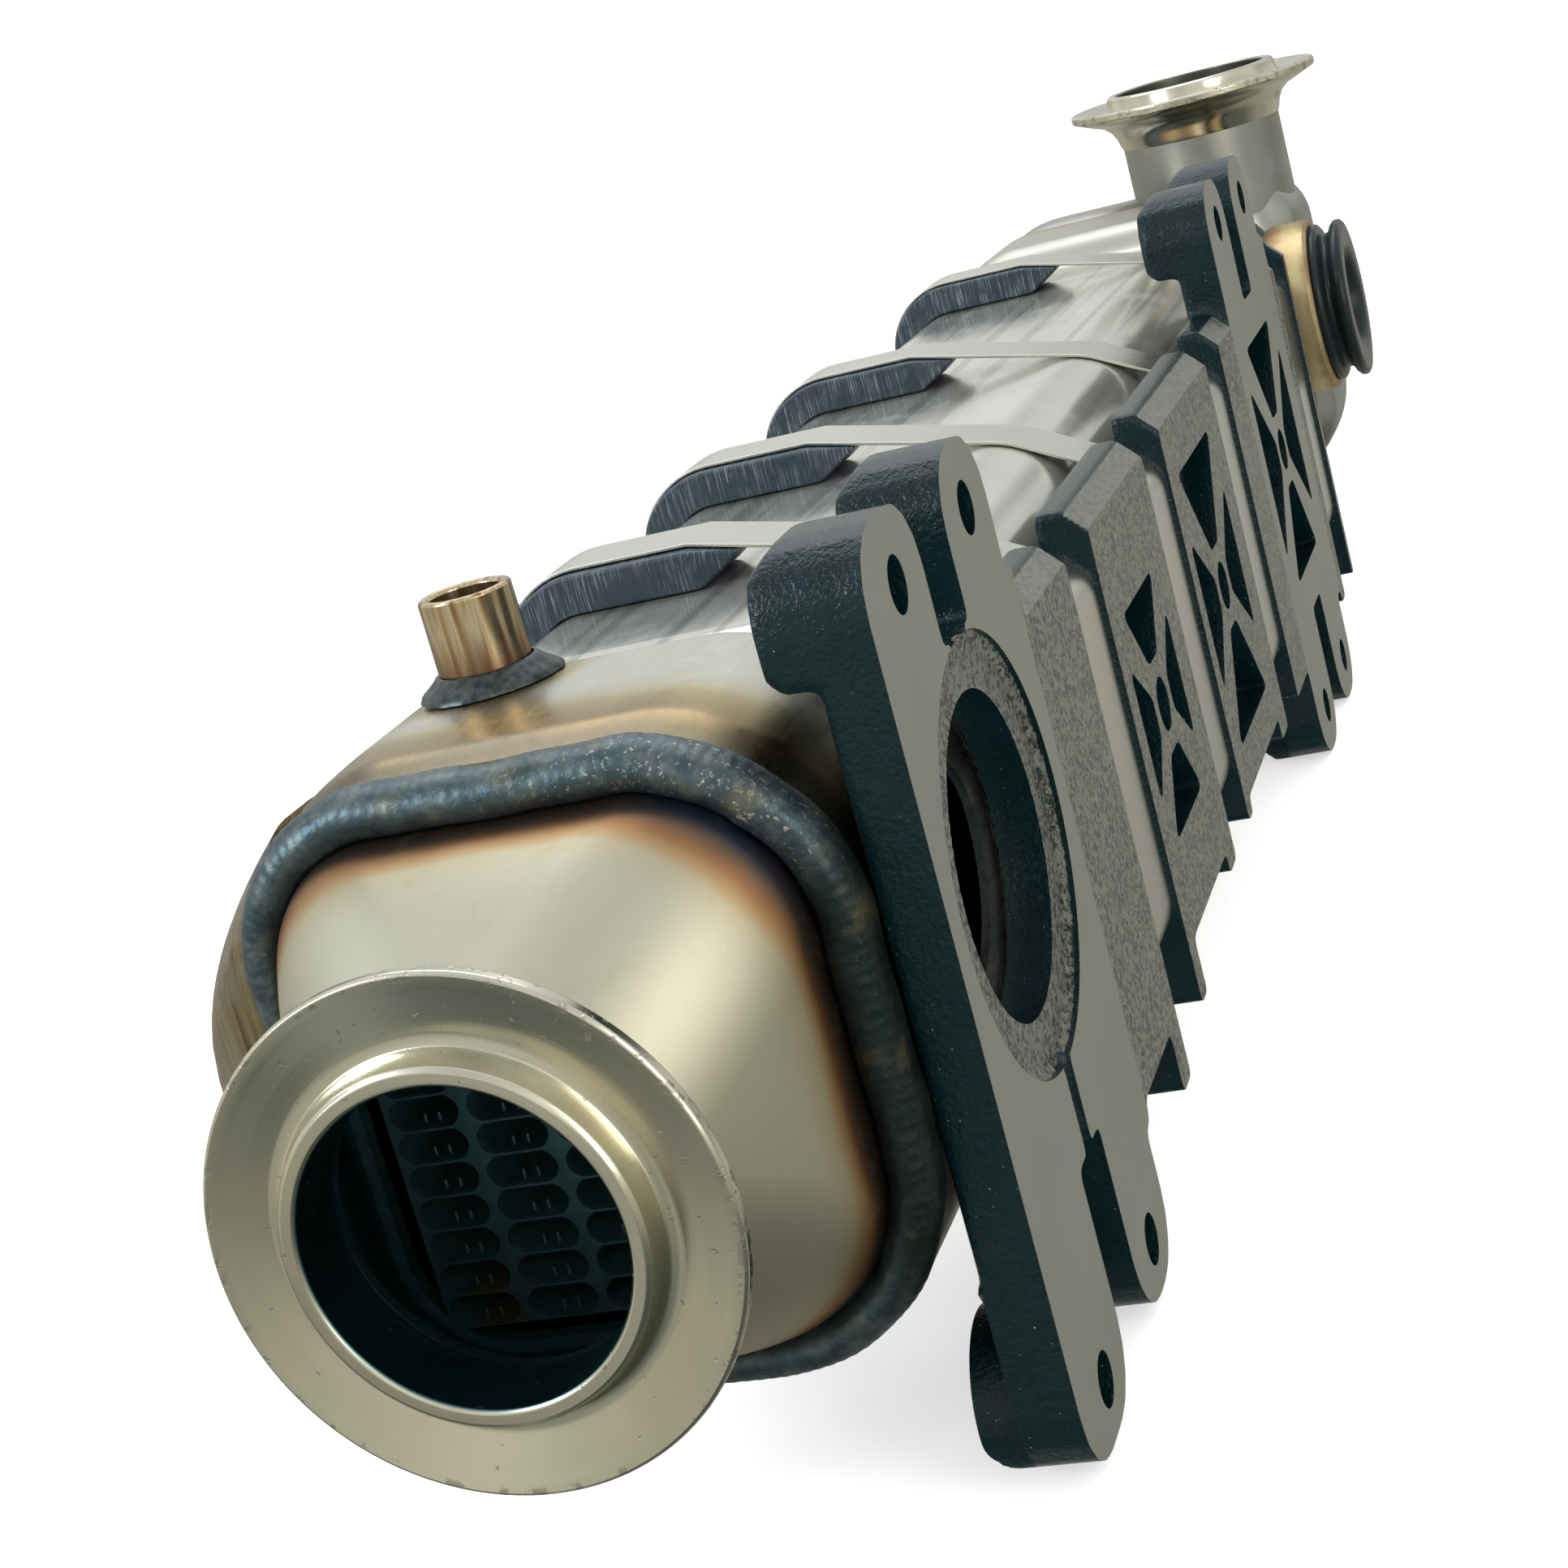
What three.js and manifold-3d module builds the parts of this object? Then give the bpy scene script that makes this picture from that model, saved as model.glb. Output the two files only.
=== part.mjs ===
// Exhaust gas cooler for a heavy diesel engine, in millimetres.
// +X leaves the machined engine face of the bracket, +Y runs from the gas inlet to the gas outlet, +Z is up.
// The origin lies on that machined face, straight under the upper front bolt hole.

import * as THREE from 'three';
import { mergeVertices } from 'three/addons/utils/BufferGeometryUtils.js';
import Module from 'manifold-3d';

const wasm = await Module();
wasm.setup();

// ---------------------------------------------------------------- driving dimensions

const GAP = 0.3; // clearance between touching pieces
const ORIGIN_BELOW_HOLE = 20; // the first bolt hole's height over the origin
const RING_POINTS = 32; // points round every lofted section, eight to a corner
const CORNER_STEPS = RING_POINTS / 4 - 1;

// Everything below measures Z from the line of the upper bolt holes.
const AXIS_X = -78; // middle of both coolant tanks
const AXIS_Z = -80;
const FLANGE_AT = { x: -78.6, z: -80.8 }; // gas inlet axis, a little low and outboard of it

const BOLT_HOLE_R = 6;
const BOLT_ROW_DROP = 173; // upper to lower row of bolt holes
const BRACKET_BACK = -13.5;
const EAR_BACK = -23.5;
const CUT_X = [-30, 3]; // from behind the ears to clear of the machined face
const FRONT_HOLES_Y = [0, 63];
const REAR_HOLES_Y = [471.5, 534.5];
const DRAIN_Y = [28, 35]; // groove from the port's recess down to the lower slot
const PORT = { y: 31.5, z: -67.3, bore: 35.3, recess: 47.5, depth: 2.2 };

const SHELL = { x0: -139, x1: -18, z0: -139.5, z1: -21.5, left: 14, right: 30 };
const SHELL_WALL = 1.5;
const SHELL_Y = [75.3, 617.7];

const TANK_HALF_X = 64.2;
const TANK_CORNER = { left: 34, right: 42 };
const TANK_WALL = 2;

const STRAP_WIDTH = 23.5;
const STRAP_THICK = 1;
const STRAP_Y = [145, 261.7, 391.8, 578.5]; // near edge of each strap
const GROOVE_LEAD = 6.5; // groove edge to strap edge on the inlet side
const GROOVE_TAIL = 1.5;
const GROOVE_FLOOR = -2.6;
const GROOVE_TOP = -38;
const GROOVE_BOTTOM = -139;

const PAD_THICK = 10;
const PAD_OVERHANG = 5; // pad beyond the strap on each side
const PAD_FLAT_END = -94; // where the strap leaves the pad
const PAD_TIP = -80;
const PAD_WEDGE_SLOPE = 0.205; // how far the pad's end drops for each millimetre towards its tip

const FLANGE_R = 51.8;
const GAS_BORE_R = 31.6;
const GAS_TUBE_R = 33.2;
const INLET_FACE_Y = -97.5;
const OUTLET = { x: -41, y: 739, faceZ: 28.6 };

const ROWS = 13; // gas tubes, one above the other
const ROW_PITCH = 7.4;
const TUBE = { x0: -123, x1: -35, height: 5, wall: 0.6, bevel: 1.6 };
const TUBE_Y = [-33.5, 707];

// ---------------------------------------------------------------- materials

const material = (color, roughness, metalness) =>
  new THREE.MeshStandardMaterial({ color, roughness, metalness });
const LOOK = {
  machined: material(0xb9b8ac, 0.25, 1),
  blasted: material(0xa9a48f, 0.45, 1),
  weld: material(0x4a5258, 0.4, 1),
  polished: material(0xc4c3b8, 0.2, 1),
  tinted: material(0xb08e4e, 0.3, 1),
  casting: material(0x14181c, 0.35, 0),
  strap: material(0xc9c8bb, 0.3, 1),
  pad: material(0x1d2730, 0.6, 0),
  seal: material(0x15181a, 0.5, 0),
  core: material(0x6c6a62, 0.5, 1),
};

// ---------------------------------------------------------------- solids and placing

// local x, y of a drawn outline become Y, Z and its depth runs along +X
const TO_X = new THREE.Matrix4().makeBasis(
  new THREE.Vector3(0, 1, 0), new THREE.Vector3(0, 0, 1), new THREE.Vector3(1, 0, 0));
// local x, y become X, Z and the depth runs along -Y
const TO_Y = new THREE.Matrix4().makeBasis(
  new THREE.Vector3(1, 0, 0), new THREE.Vector3(0, 0, 1), new THREE.Vector3(0, -1, 0));

function shapeOf(points, holes = []) {
  const shape = new THREE.Shape(points);
  for (const hole of holes) {
    shape.holes.push(new THREE.Path(hole));
  }
  return shape;
}

function extrude(shape, depth) {
  return new THREE.ExtrudeGeometry(shape, { depth, bevelEnabled: false, steps: 1 });
}

const extrudeX = (shape, x0, x1) =>
  extrude(shape, x1 - x0).translate(0, 0, x0).applyMatrix4(TO_X);
const extrudeY = (shape, y0, y1) =>
  extrude(shape, y1 - y0).translate(0, 0, -y1).applyMatrix4(TO_Y);

function boxAt(x0, x1, y0, y1, z0, z1) {
  const box = new THREE.BoxGeometry(x1 - x0, y1 - y0, z1 - z0);
  return box.translate((x0 + x1) / 2, (y0 + y1) / 2, (z0 + z1) / 2);
}

function toSolid(geometry) {
  const bare = geometry.clone();
  bare.deleteAttribute('normal');
  bare.deleteAttribute('uv');
  const merged = mergeVertices(bare, 1e-4);
  return new wasm.Manifold(new wasm.Mesh({
    numProp: 3,
    vertProperties: new Float32Array(merged.attributes.position.array),
    triVerts: new Uint32Array(merged.index.array),
  }));
}

function toGeometry(solid) {
  const mesh = solid.getMesh();
  const geometry = new THREE.BufferGeometry();
  geometry.setAttribute('position', new THREE.BufferAttribute(mesh.vertProperties, 3));
  geometry.setIndex(new THREE.BufferAttribute(mesh.triVerts, 1));
  geometry.computeVertexNormals();
  return geometry;
}

const joined = (solids) => solids.reduce((sum, part) => sum.add(part));

function cut(base, ...tools) {
  const start = base instanceof THREE.BufferGeometry ? toSolid(base) : base;
  return toGeometry(tools.map(toSolid).reduce((sum, tool) => sum.subtract(tool), start));
}

function signedVolume(geometry) {
  const p = geometry.attributes.position;
  const index = geometry.index.array;
  const corner = [new THREE.Vector3(), new THREE.Vector3(), new THREE.Vector3()];
  let sum = 0;
  for (let i = 0; i < index.length; i += 3) {
    corner.forEach((v, k) => v.fromBufferAttribute(p, index[i + k]));
    sum += corner[0].dot(corner[1].cross(corner[2]));
  }
  return sum;
}

// A skin through rings of equal point count. An open run of rings is capped at both ends,
// a looped run closes on its first ring.
function loft(rings, looped = false) {
  const count = rings[0].length;
  const points = rings.flat();
  const faces = [];
  const spans = looped ? rings.length : rings.length - 1;
  for (let s = 0; s < spans; s += 1) {
    const a = s * count;
    const b = ((s + 1) % rings.length) * count;
    for (let i = 0; i < count; i += 1) {
      const j = (i + 1) % count;
      faces.push(a + i, a + j, b + j, a + i, b + j, b + i);
    }
  }
  if (!looped) {
    for (const [start, turned] of [[0, true], [(rings.length - 1) * count, false]]) {
      for (let i = 1; i < count - 1; i += 1) {
        const [p, q] = turned ? [i + 1, i] : [i, i + 1];
        faces.push(start, start + p, start + q);
      }
    }
  }
  const geometry = new THREE.BufferGeometry().setFromPoints(points);
  geometry.setIndex(faces);
  if (signedVolume(geometry) < 0) {
    geometry.setIndex(faces.reverse());
  }
  geometry.computeVertexNormals();
  return geometry;
}

// A closed profile of [radius, height] points turned about the local Y axis.
function turned(profile, segments = 32) {
  const outline = [...profile, profile[0]].map(([r, h]) => new THREE.Vector2(r, h));
  const lathe = new THREE.LatheGeometry(outline, segments);
  lathe.deleteAttribute('normal');
  lathe.deleteAttribute('uv');
  const merged = mergeVertices(lathe, 1e-4);
  if (signedVolume(merged) < 0) {
    merged.setIndex([...merged.index.array].reverse());
  }
  merged.computeVertexNormals();
  return merged;
}

const alongX = (geometry) => geometry.rotateZ(-Math.PI / 2);
const alongZ = (geometry) => geometry.rotateX(Math.PI / 2);

function rodX(y, z, r, x0, x1, segments = 24) {
  const rod = alongX(new THREE.CylinderGeometry(r, r, x1 - x0, segments));
  return rod.translate((x0 + x1) / 2, y, z);
}

function rodZ(x, y, r, z0, z1, segments = 24) {
  const rod = alongZ(new THREE.CylinderGeometry(r, r, z1 - z0, segments));
  return rod.translate(x, y, (z0 + z1) / 2);
}

// ---------------------------------------------------------------- section outlines

function arc(cx, cz, r, from, to, steps) {
  const points = [];
  for (let i = 0; i <= steps; i += 1) {
    const angle = THREE.MathUtils.degToRad(from + ((to - from) * i) / steps);
    points.push(new THREE.Vector2(cx + r * Math.cos(angle), cz + r * Math.sin(angle)));
  }
  return points;
}

// Rounded box in X and Z, eight points to a corner, counter-clockwise from the +X side.
function roundedBox(box) {
  const { x0, x1, z0, z1, left, right } = box;
  return [
    ...arc(x1 - right, z1 - right, right, 0, 90, CORNER_STEPS),
    ...arc(x0 + left, z1 - left, left, 90, 180, CORNER_STEPS),
    ...arc(x0 + left, z0 + left, left, 180, 270, CORNER_STEPS),
    ...arc(x1 - right, z0 + right, right, 270, 360, CORNER_STEPS),
  ];
}

function grown(box, by) {
  return {
    x0: box.x0 - by, x1: box.x1 + by, z0: box.z0 - by, z1: box.z1 + by,
    left: box.left + by, right: box.right + by,
  };
}

const atY = (points, y) => points.map((p) => new THREE.Vector3(p.x, y, p.y));
const boxRing = (box, y) => atY(roundedBox(box), y);

function circleRing(r, y) {
  const half = 180 / RING_POINTS;
  return atY(arc(FLANGE_AT.x, FLANGE_AT.z, r, half, 360 - half, RING_POINTS - 1), y);
}

const blend = (a, b, t) => a.map((p, i) => p.clone().lerp(b[i], t));

// The closed end of both tanks, and what fits inside it.
const tankEnd = (inset) => grown({
  x0: AXIS_X - TANK_HALF_X, x1: AXIS_X + TANK_HALF_X,
  z0: AXIS_Z - TANK_HALF_X - 2, z1: AXIS_Z + TANK_HALF_X + 2, ...TANK_CORNER,
}, -inset);
const MOUTH_INSET = 7.8;

// A thin-walled sleeve: the same stations outside and, one wall smaller, inside.
function sleeve(stations, wall) {
  const outside = stations.map(({ box, y }) => boxRing(box, y));
  const inside = stations.map(({ box, y }) => boxRing(grown(box, -wall), y));
  return loft([...outside, ...inside.reverse()], true);
}

// ---------------------------------------------------------------- gas side, inlet end

// V-band flange: a lip round the bore, a dished face, a thin rim and the clamp cone behind it.
const FLANGE_PROFILE = [
  [GAS_BORE_R, -3.2], [GAS_BORE_R + 0.8, -4], [GAS_BORE_R + 3, -4], [GAS_BORE_R + 5.2, 0.8],
  [FLANGE_R - 1.4, 0], [FLANGE_R, 0.8], [FLANGE_R, 3.4], [FLANGE_R - 9, 7.6],
  [GAS_BORE_R + 3.6, 9.4], [GAS_BORE_R + 2.2, 12.2], [GAS_BORE_R, 12.2],
];
const FLANGE_LENGTH = 12.2;

const gasInletFlange = () => turned(FLANGE_PROFILE).translate(FLANGE_AT.x, INLET_FACE_Y, FLANGE_AT.z);

const CONE_END_Y = -32;

// Round at the flange, rounded square at the tube plate.
function gasInletCone() {
  const neckY = INLET_FACE_Y + FLANGE_LENGTH + GAP;
  const skin = (off) => {
    const neck = circleRing(GAS_BORE_R + 2.2 - off, neckY);
    const flare = circleRing(GAS_BORE_R + 6 - off, neckY + 9);
    const shoulder = boxRing(tankEnd(MOUTH_INSET + off + 1.6), CONE_END_Y - 9);
    const middle = blend(flare, shoulder, 0.5);
    middle.forEach((p) => p.setY(neckY + 24));
    return [neck, flare, middle, shoulder, boxRing(tankEnd(MOUTH_INSET + off), CONE_END_Y)];
  };
  return loft([...skin(0), ...skin(2.2).reverse()], true);
}

// The closing weld bead: its section is given as offsets from the tank side and from the joint.
const BEAD_SECTION = [
  [-7.5, 1], [-7.2, -3.6], [-4.2, -6.2], [-0.4, -5], [1.8, -1], [1.8, 4], [0.2, 6.2], [-7.5, 6.2],
];
const JOINT_Y = { front: -30.5, rear: 698.5 };

function closingBead(jointY, facing) {
  const rings = BEAD_SECTION.map(([off, y]) => boxRing(tankEnd(-off), jointY + facing * y));
  return loft(rings, true);
}

// ---------------------------------------------------------------- tube bundle

const rowZ = (row) => AXIS_Z + (row - (ROWS - 1) / 2) * ROW_PITCH;

function flatOutline(row, grow) {
  const halfZ = TUBE.height / 2 + grow;
  const x0 = TUBE.x0 - grow;
  const x1 = TUBE.x1 + grow;
  const z = rowZ(row);
  const bevel = TUBE.bevel + grow / 2;
  return [
    [x0 + bevel, z - halfZ], [x1 - bevel, z - halfZ], [x1, z - halfZ + bevel], [x1, z + halfZ - bevel],
    [x1 - bevel, z + halfZ], [x0 + bevel, z + halfZ], [x0, z + halfZ - bevel], [x0, z - halfZ + bevel],
  ].map(([x, y]) => new THREE.Vector2(x, y));
}

function gasTube(row) {
  const bore = flatOutline(row, -TUBE.wall).reverse();
  return extrudeY(shapeOf(flatOutline(row, 0), [bore]), ...TUBE_Y);
}

const allRows = [...Array(ROWS).keys()];
const tubeSlots = () => allRows.map((row) => flatOutline(row, GAP).reverse());

const tubePlate = (y0, y1) =>
  extrudeY(shapeOf(roundedBox(tankEnd(MOUTH_INSET)), tubeSlots()), y0, y1);

// A baffle fills the shell up to a window along one side, left and right in turn.
const BAFFLE_Y = [190, 335, 480];
const BAFFLE_THICK = 1.5;
const BAFFLE_EDGE = 3; // metal left round the outer tubes

function baffle(index) {
  const inner = grown(SHELL, -SHELL_WALL - GAP);
  const plate = shapeOf(roundedBox(inner), tubeSlots());
  const y = BAFFLE_Y[index];
  const whole = extrudeY(plate, y, y + BAFFLE_THICK);
  const onTop = index % 2 === 0;
  const tubesEnd = rowZ(ROWS - 1) - AXIS_Z + TUBE.height / 2 + BAFFLE_EDGE;
  const z = onTop ? [AXIS_Z + tubesEnd, inner.z1 + 1] : [inner.z0 - 1, AXIS_Z - tubesEnd];
  return cut(whole, boxAt(inner.x0 - 1, inner.x1 + 1, y - 1, y + BAFFLE_THICK + 1, ...z));
}

// ---------------------------------------------------------------- coolant side

const tankBox = (top, right = AXIS_X + TANK_HALF_X, left = AXIS_X - TANK_HALF_X, bottom = -149) => ({
  x0: left, x1: right, z0: bottom, z1: top, ...TANK_CORNER,
});

// Full height over the tube plate, then stepping down to the shell.
function frontTank() {
  const stations = [
    { box: tankBox(-13.5), y: -24 },
    { box: tankBox(-10.6), y: -15 },
    { box: tankBox(-10), y: 2 },
    { box: tankBox(-10), y: 36 },
    { box: tankBox(-12, undefined, undefined, -147), y: 41 },
    { box: { ...tankBox(-20.5, undefined, -140, -140.5), left: 22 }, y: 55 },
    { box: { ...tankBox(-21.5, undefined, -139, -139.5), left: 16 }, y: 69 },
    { box: SHELL, y: SHELL_Y[0] - GAP },
  ];
  return cut(
    sleeve(stations, TANK_WALL),
    rodX(PORT.y, PORT.z, 27, -24, -10),
    rodX(BLISTER.y, AXIS_Z, 20, -150, -136),
    rodZ(NIPPLE.x, NIPPLE.y, NIPPLE.bore, -16, 0, 16),
  );
}

function rearTank() {
  const stations = [
    { box: SHELL, y: SHELL_Y[1] + GAP },
    { box: { ...tankBox(-20.5, undefined, -140, -140.5), left: 22 }, y: 625 },
    { box: tankBox(-12), y: 634 },
    { box: tankBox(-10), y: 640 },
    { box: tankBox(-10), y: 684 },
    { box: tankBox(-13.5), y: 692 },
  ];
  return cut(sleeve(stations, TANK_WALL), rodX(INLET.y, INLET.z, INLET.bore, -24, -10));
}

const coreShell = () => extrudeY(
  shapeOf(roundedBox(SHELL), [roundedBox(grown(SHELL, -SHELL_WALL)).reverse()]), ...SHELL_Y);

// Pressed blister on the side away from the engine, where the front tank feeds round the bundle.
const BLISTER = { y: 6, rise: 35, halfZ: 57, halfY: 26, wall: 1.8 };

function coolantBlister() {
  const baseX = AXIS_X - TANK_HALF_X - GAP;
  const ring = (rise, off) => {
    const share = rise / BLISTER.rise;
    const halfZ = BLISTER.halfZ * (1 - share) ** 0.62 + 5 * share - off;
    const halfY = BLISTER.halfY * (1 - 0.72 * share ** 2) - off;
    const corner = Math.min(halfY, halfZ) * 0.75;
    const outline = roundedBox({ x0: -halfY, x1: halfY, z0: -halfZ, z1: halfZ, left: corner, right: corner });
    const x = baseX - Math.max(rise - off, 0);
    return outline.map((p) => new THREE.Vector3(x, BLISTER.y + p.x, AXIS_Z + p.y));
  };
  const rises = [0, 10, 20, 29, BLISTER.rise];
  const inside = rises.slice(1).reverse().map((rise) => ring(rise, BLISTER.wall));
  return loft([...inside, ring(0, BLISTER.wall), ...rises.map((rise) => ring(rise, 0))]);
}

const NIPPLE = { x: -102, y: 30, r: 10.3, bore: 7.6, baseZ: -9.7, topZ: 11.2 };

function ventNipple() {
  const { r, bore, baseZ, topZ } = NIPPLE;
  const wall = [[bore, 0], [r, 0], [r, topZ - baseZ - 0.8], [r - 0.8, topZ - baseZ], [bore, topZ - baseZ]];
  return alongZ(turned(wall, 24)).translate(NIPPLE.x, NIPPLE.y, baseZ);
}

function ventNippleWeld() {
  const inner = NIPPLE.r + GAP;
  const bead = [[inner, 0], [15.2, 0], [14.6, 1.4], [12.4, 3.2], [inner, 4.4]];
  return alongZ(turned(bead, 24)).translate(NIPPLE.x, NIPPLE.y, NIPPLE.baseZ);
}

const INLET = { y: 661, z: -62, cup: 34, bore: 24, rimX: 4.5 };

function coolantInletCup() {
  const start = AXIS_X + TANK_HALF_X + GAP;
  const length = INLET.rimX - start;
  const cup = [
    [INLET.bore, 0], [INLET.cup - 3, 0], [INLET.cup, 3], [INLET.cup, length - 1.2],
    [INLET.cup - 1.2, length], [INLET.cup - 3.2, length], [INLET.cup - 3.2, 7], [INLET.bore, 5],
  ];
  return alongX(turned(cup, 28)).translate(start, INLET.y, INLET.z);
}

const SEAL_SEAT = 10.7; // how deep the spool sits in the cup

// Black sealing spool pressed into the cup: two lips with a groove between them.
function coolantInletSeal() {
  const seat = INLET.cup - 3.2 - GAP;
  const spool = [
    [18, 0], [seat, 0], [seat, 10.8], [31.4, 11.3], [31.4, 13.1], [29.4, 14.5], [27, 15.3], [27, 17.5],
    [29.8, 18.9], [31.4, 20.5], [31.4, 22.1], [30, 23.5], [22, 23.5], [18, 21.5],
  ];
  return alongX(turned(spool, 24)).translate(INLET.rimX - SEAL_SEAT, INLET.y, INLET.z);
}

// ---------------------------------------------------------------- gas side, outlet end

const HOOD_STATIONS = [
  { y: JOINT_Y.rear + 1.5, box: tankEnd(MOUTH_INSET) },
  { y: JOINT_Y.rear + 6.8, box: tankEnd(MOUTH_INSET) },
  { y: 712, box: { x0: -137, x1: -17, z0: -141, z1: -14, left: 28, right: 28 } },
  { y: 722, box: { x0: -136, x1: -8, z0: -138, z1: -11, left: 27, right: 24 } },
  { y: 748, box: { x0: -130, x1: -5, z0: -130, z1: -13, left: 26, right: 22 } },
  { y: 768, box: { x0: -120, x1: -8, z0: -116, z1: -20, left: 24, right: 22 } },
  { y: 777, box: { x0: -106, x1: -20, z0: -100, z1: -36, left: 18, right: 18 } },
];
const HOOD_WALL = 2;

const hoodRings = (off) => HOOD_STATIONS.map(({ box, y }, i) => {
  const pulledIn = i === HOOD_STATIONS.length - 1 ? off : 0;
  return boxRing(grown(box, -off), y - pulledIn);
});

// The collecting hood is closed at the back and opens into the outlet tube above.
function gasOutletHood() {
  const shell = loft([...hoodRings(HOOD_WALL).reverse(), ...hoodRings(0)]);
  return cut(shell, rodZ(OUTLET.x, OUTLET.y, GAS_BORE_R, -45, 0, 32));
}

function gasOutletTube() {
  const top = OUTLET.faceZ - FLANGE_LENGTH - GAP;
  const tube = cut(
    rodZ(OUTLET.x, OUTLET.y, GAS_TUBE_R, -60, top, 32),
    rodZ(OUTLET.x, OUTLET.y, GAS_BORE_R, -61, top + 1, 32),
  );
  return cut(tube, loft(hoodRings(-GAP)));
}

function gasOutletFlange() {
  const flange = turned(FLANGE_PROFILE.map(([r, h]) => [r, -h]));
  return alongZ(flange).translate(OUTLET.x, OUTLET.y, OUTLET.faceZ);
}

// ---------------------------------------------------------------- bracket casting

function roundedBoxOutline(y0, y1, z0, z1, r) {
  return [
    ...arc(y1 - r, z1 - r, r, 0, 90, 4), ...arc(y0 + r, z1 - r, r, 90, 180, 4),
    ...arc(y0 + r, z0 + r, r, 180, 270, 4), ...arc(y1 - r, z0 + r, r, 270, 360, 4),
  ];
}

// Both bolting pads: four ears, two slots between them and a web joining them.
const PADS = {
  front: {
    ears: [[-24, 20], [43, 82]], top: 15, bottom: -185, web: [-24, 88], upperSlot: -8, lowerSlot: -135,
  },
  rear: {
    ears: [[448, 489], [511, 553]], top: 15, bottom: -187, web: [448, 562], upperSlot: -30, lowerSlot: -142,
  },
};
const EAR_R = 16;
// X and Z outlines of the thicker metal behind the upper and the lower bolt holes.
const earSections = (top, bottom) => [
  [[BRACKET_BACK + 1, -12], [-20.5, -12], [EAR_BACK, -9], [EAR_BACK, top - 5], [-19, top],
    [BRACKET_BACK + 1, top]],
  [[BRACKET_BACK + 1, -136], [EAR_BACK, -151], [EAR_BACK, bottom + 8], [-19, bottom],
    [BRACKET_BACK + 1, bottom]],
];
const WEB_TOP = -19;
const WEB_BOTTOM = -155;

// Stretches of the ribbed rail between the straps: [y0, y1, lowest z].
const RAIL = [
  [88, 128, -150], [128, 138.5, -166], [138.5, 170, -158], [170, 178, -160], [178, 243, -145],
  [243, 255.2, -151], [255.2, 286.7, -148], [286.7, 294, -151], [294, 371, -146], [371, 385.3, -153],
  [385.3, 416.8, -150], [416.8, 448, -153], [562, 572, -160], [572, 603.5, -156], [603.5, 607.5, -160],
];
const RAIL_TOP = -26;
const RAIL_RUNS = [[88.5, 447.5], [562.5, 608]]; // where the chamfered rail stands clear of the pads
const TOP_CHAMFER = 6;

function padBlocks({ ears, top, bottom, web }) {
  const plate = extrudeX(shapeOf(roundedBoxOutline(...web, WEB_BOTTOM, WEB_TOP, 3)), BRACKET_BACK, 0);
  return [toSolid(plate), ...ears.map(([y0, y1]) => {
    const outline = shapeOf(roundedBoxOutline(y0, y1, bottom, top, EAR_R));
    const bosses = earSections(top, bottom).map((corners) =>
      toSolid(extrudeY(shapeOf(corners.map(([x, z]) => new THREE.Vector2(x, z))), y0, y1)));
    return toSolid(extrudeX(outline, EAR_BACK, 0)).intersect(bosses[0].add(bosses[1]).add(
      toSolid(boxAt(BRACKET_BACK, 0, y0, y1, bottom, top))));
  })];
}

// Lightening pockets: four wedges round a hub, leaving the ribs as an X.
const HUB = { z: 12.5, halfY: 6.5, y: 12, halfZ: 5, hole: 7.5 };
const POCKET_DEPTH = 10.5;
const LATTICES = [
  { y: 209, z: -90, top: 31, long: 23, side: 30, tall: 18.5 },
  { y: 331.5, z: -90.5, top: 42, long: 32, side: 36.5, tall: 23 },
  { y: 501, z: -86, top: 42, long: 30, side: 42.5, tall: 30.5 },
];

function latticePockets({ y, z, top, long, side, tall }) {
  const wedges = [];
  for (const s of [-1, 1]) {
    wedges.push([[-long, s * top], [long, s * top], [HUB.halfY, s * HUB.z], [-HUB.halfY, s * HUB.z]]);
    wedges.push([[s * side, -tall], [s * side, tall], [s * HUB.y, HUB.halfZ], [s * HUB.y, -HUB.halfZ]]);
  }
  const cuts = wedges.map((corners) => {
    const outline = corners.map(([a, b]) => new THREE.Vector2(y + a, z + b));
    return extrudeX(shapeOf(outline), -POCKET_DEPTH, 1);
  });
  return [...cuts, rodX(y, z, HUB.hole, -POCKET_DEPTH, 1, 16)];
}

function strapGroove(strapY) {
  const y0 = strapY - GROOVE_LEAD;
  const y1 = strapY + STRAP_WIDTH + GROOVE_TAIL;
  const top = [[-9, GROOVE_TOP + 0.6], [GROOVE_FLOOR, GROOVE_TOP - 6], [3, GROOVE_TOP - 6], [3, 0], [-9, 0]];
  const low = [[GROOVE_FLOOR, GROOVE_BOTTOM + 5], [-7.5, GROOVE_BOTTOM], [-7.5, -170], [3, -170],
    [3, GROOVE_BOTTOM + 5]];
  const chamfer = (corners) =>
    extrudeY(shapeOf(corners.map(([x, z]) => new THREE.Vector2(x, z))), y0, y1);
  return [
    boxAt(GROOVE_FLOOR, 3, y0, y1, GROOVE_BOTTOM - 40, 0),
    boxAt(BRACKET_BACK - 2, 3, y0, y1, GROOVE_TOP, 0),
    boxAt(BRACKET_BACK - 2, 3, y0, y1, GROOVE_BOTTOM - 40, GROOVE_BOTTOM),
    chamfer(top), chamfer(low),
  ];
}

function topChamfer(y0, y1, z) {
  const corners = [[-TOP_CHAMFER, z + 0.1], [1, z + 0.1], [1, z - TOP_CHAMFER - 1], [0, z - TOP_CHAMFER]];
  return extrudeY(shapeOf(corners.map(([x, h]) => new THREE.Vector2(x, h))), y0, y1);
}

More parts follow.
